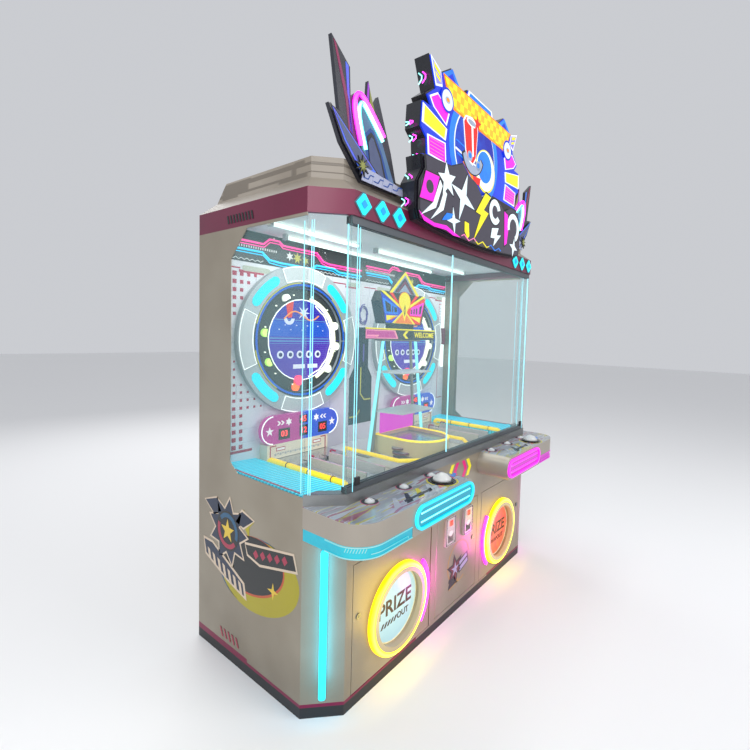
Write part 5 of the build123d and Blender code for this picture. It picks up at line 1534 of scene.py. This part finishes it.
tower_print(2, film_grey, [(-104, 1890), (0, 1988), (104, 1890)])
tower_print(3, wing_maroon, [(-84, 1890), (0, 1968), (84, 1890), (70, 1890), (0, 1954), (-70, 1890)])
for s in (-1, 1):
    tower_print(4, film_yellow, [(s * 152, 1884), (s * 124, 1884), (0, 2006), (0, 2026)])
tower_print(4, film_silver, [(-62, 1890), (0, 1946), (62, 1890), (0, 1902)])
for x in (-60, 60):
    bent_tube("tower_sign_post", [(x, 5, 1664), (x, 5, 1700)], 9.0, tube_socket)


# ---------- prize tray
# A cream moulded tray with a yellow rubber rim in front of the tower; the rim glows by emission, painted
# light on rubber. Its floor is covered with holographic film, and three half-round steps are stacked on
# its left side.
def holographic():
    """Silver film that turns from violet to green with the angle of view."""
    finish, tree, shader, place, wear = new_finish("holographic_film", 60.0)
    slant = add(tree, "LayerWeight", {"Blend": 0.4}).outputs["Facing"]
    sweep = figure(tree, "ADD", times(tree, slant, 9.0), times(tree, wear["Fleck"], 5.0))
    wave = ranged(tree, figure(tree, "SINE", sweep), -1.0, 1.0)
    colour = mixed(tree, wave, shade("9A3CF0"), shade("62E09A"))
    colour = mixed(tree, times(tree, wear["Cloud"], 0.5), colour, shade("D83CE0"))
    feed(shader, "Base Color", colour)
    feed(shader, "Metallic", 0.7)
    feed(shader, "Roughness", 0.22)
    return finish


dress(coated("tray_cream", "D9C79A", "CDB984", 0.35), "prize_tray")
tray_low, tray_high = (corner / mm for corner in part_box("prize_tray"))
tray_half = tray_high.x
nose = tray_low.y + tray_half
rim_line = [(-tray_half + 6, tray_high.y - 6, tray_high.z)]
rim_line += [(x, y, tray_high.z) for x, y in arc_points(0, nose, tray_half - 6, 180, 360, 22)]
rim_line.append((tray_half - 6, tray_high.y - 6, tray_high.z))
# Painted light: the rubber rim is given a glow of its own.
bent_tube("tray_rim", rim_line, 8.0, lit("rim_yellow_painted_glow", "FFF04A", "EFD000", 0.8),
          closed=True)
film_half = tray_half - 16
film_floor = [(-film_half, tray_high.y - 16)] + arc_points(0, nose, film_half, 180, 360, 22)
film_floor.append((film_half, tray_high.y - 16))
hologram = holographic()
cut_sheet("tray_film", film_floor, "top", tray_high.z - 21.5, tray_high.z - 19, hologram)
step_edge = coated("step_edge", "7A4038", "69352E", 0.4)
for number, radius in enumerate((40.0, 56.0, 72.0)):
    top = 962.0 - 22 * number
    outline = arc_points(-tray_half + 4, -150 - 26 * number, radius, 90, 270, 18)
    cut_sheet("tray_step", outline, "top", top - 9, top, step_edge)
    cut_sheet("tray_step_film", sized(outline, 0.94), "top", top, top + 1, hologram)


# ---------- back sheet
# The back is a painted steel sheet screwed to the frame. Four fields of pressed slots let warm air out
# of the play space and the power supply, and a lower service sheet is held by its own screws. The slots
# are dark sheets: painted shade for the dark inside behind them.
back_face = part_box("back_panel")[1].y / mm
dark_slot_shade_sheet = coated("vent_slot_painted_shade", "1B1A1A", "262423", 0.6)
screw_zinc = coated("screw_zinc", "9EA1A3", "85888B", 0.3, 0.95)
seam_dark = coated("sheet_seam", "57514A", "4C463F", 0.5)
vents = [plate(x, x + 92, z, z + 7) for z in list(range(1840, 1980, 22)) + list(range(300, 440, 22))
         for x in (-560, -450, 358, 468)]
# Painted shade: each vent slot is a dark sheet standing for the dark inside.
cut_sheets("back_vents", vents, "front", back_face, back_face + 0.5, dark_slot_shade_sheet)
seams = [plate(-640, 640, 818, 821), plate(-640, 640, 157, 160), plate(-643, -640, 157, 821),
         plate(640, 643, 157, 821), plate(-1.5, 1.5, 850, 2070)]
cut_sheets("back_seams", seams, "front", back_face, back_face + 0.4, seam_dark)
sheet_edge = [(x, z) for z in (120, 870, 1480, 2070) for x in (-1020, -520, -20, 20, 520, 1020)]
service_edge = [(x, z) for z in (180, 490, 798) for x in (-620, 620)]
heads = [arc_points(x, z, 8, 0, 330, 12) for x, z in sheet_edge + service_edge]
cut_sheets("back_screws", heads, "front", back_face, back_face + 2.0, screw_zinc)


# ---------- machinery below
# The cash box, hoppers and power supply are folded zinc coated steel and the prize bins are white
# plastic. All of them stand on the base board behind the doors.
dress(coated("zinc_sheet", "A7ABAD", "8F9497", 0.35, 0.85, grain=120.0), "cash_box", "coin_hoppers",
      "power_supply")
dress(coated("bin_white", "E2E3E0", "D2D4D0", 0.45), "prize_bins")
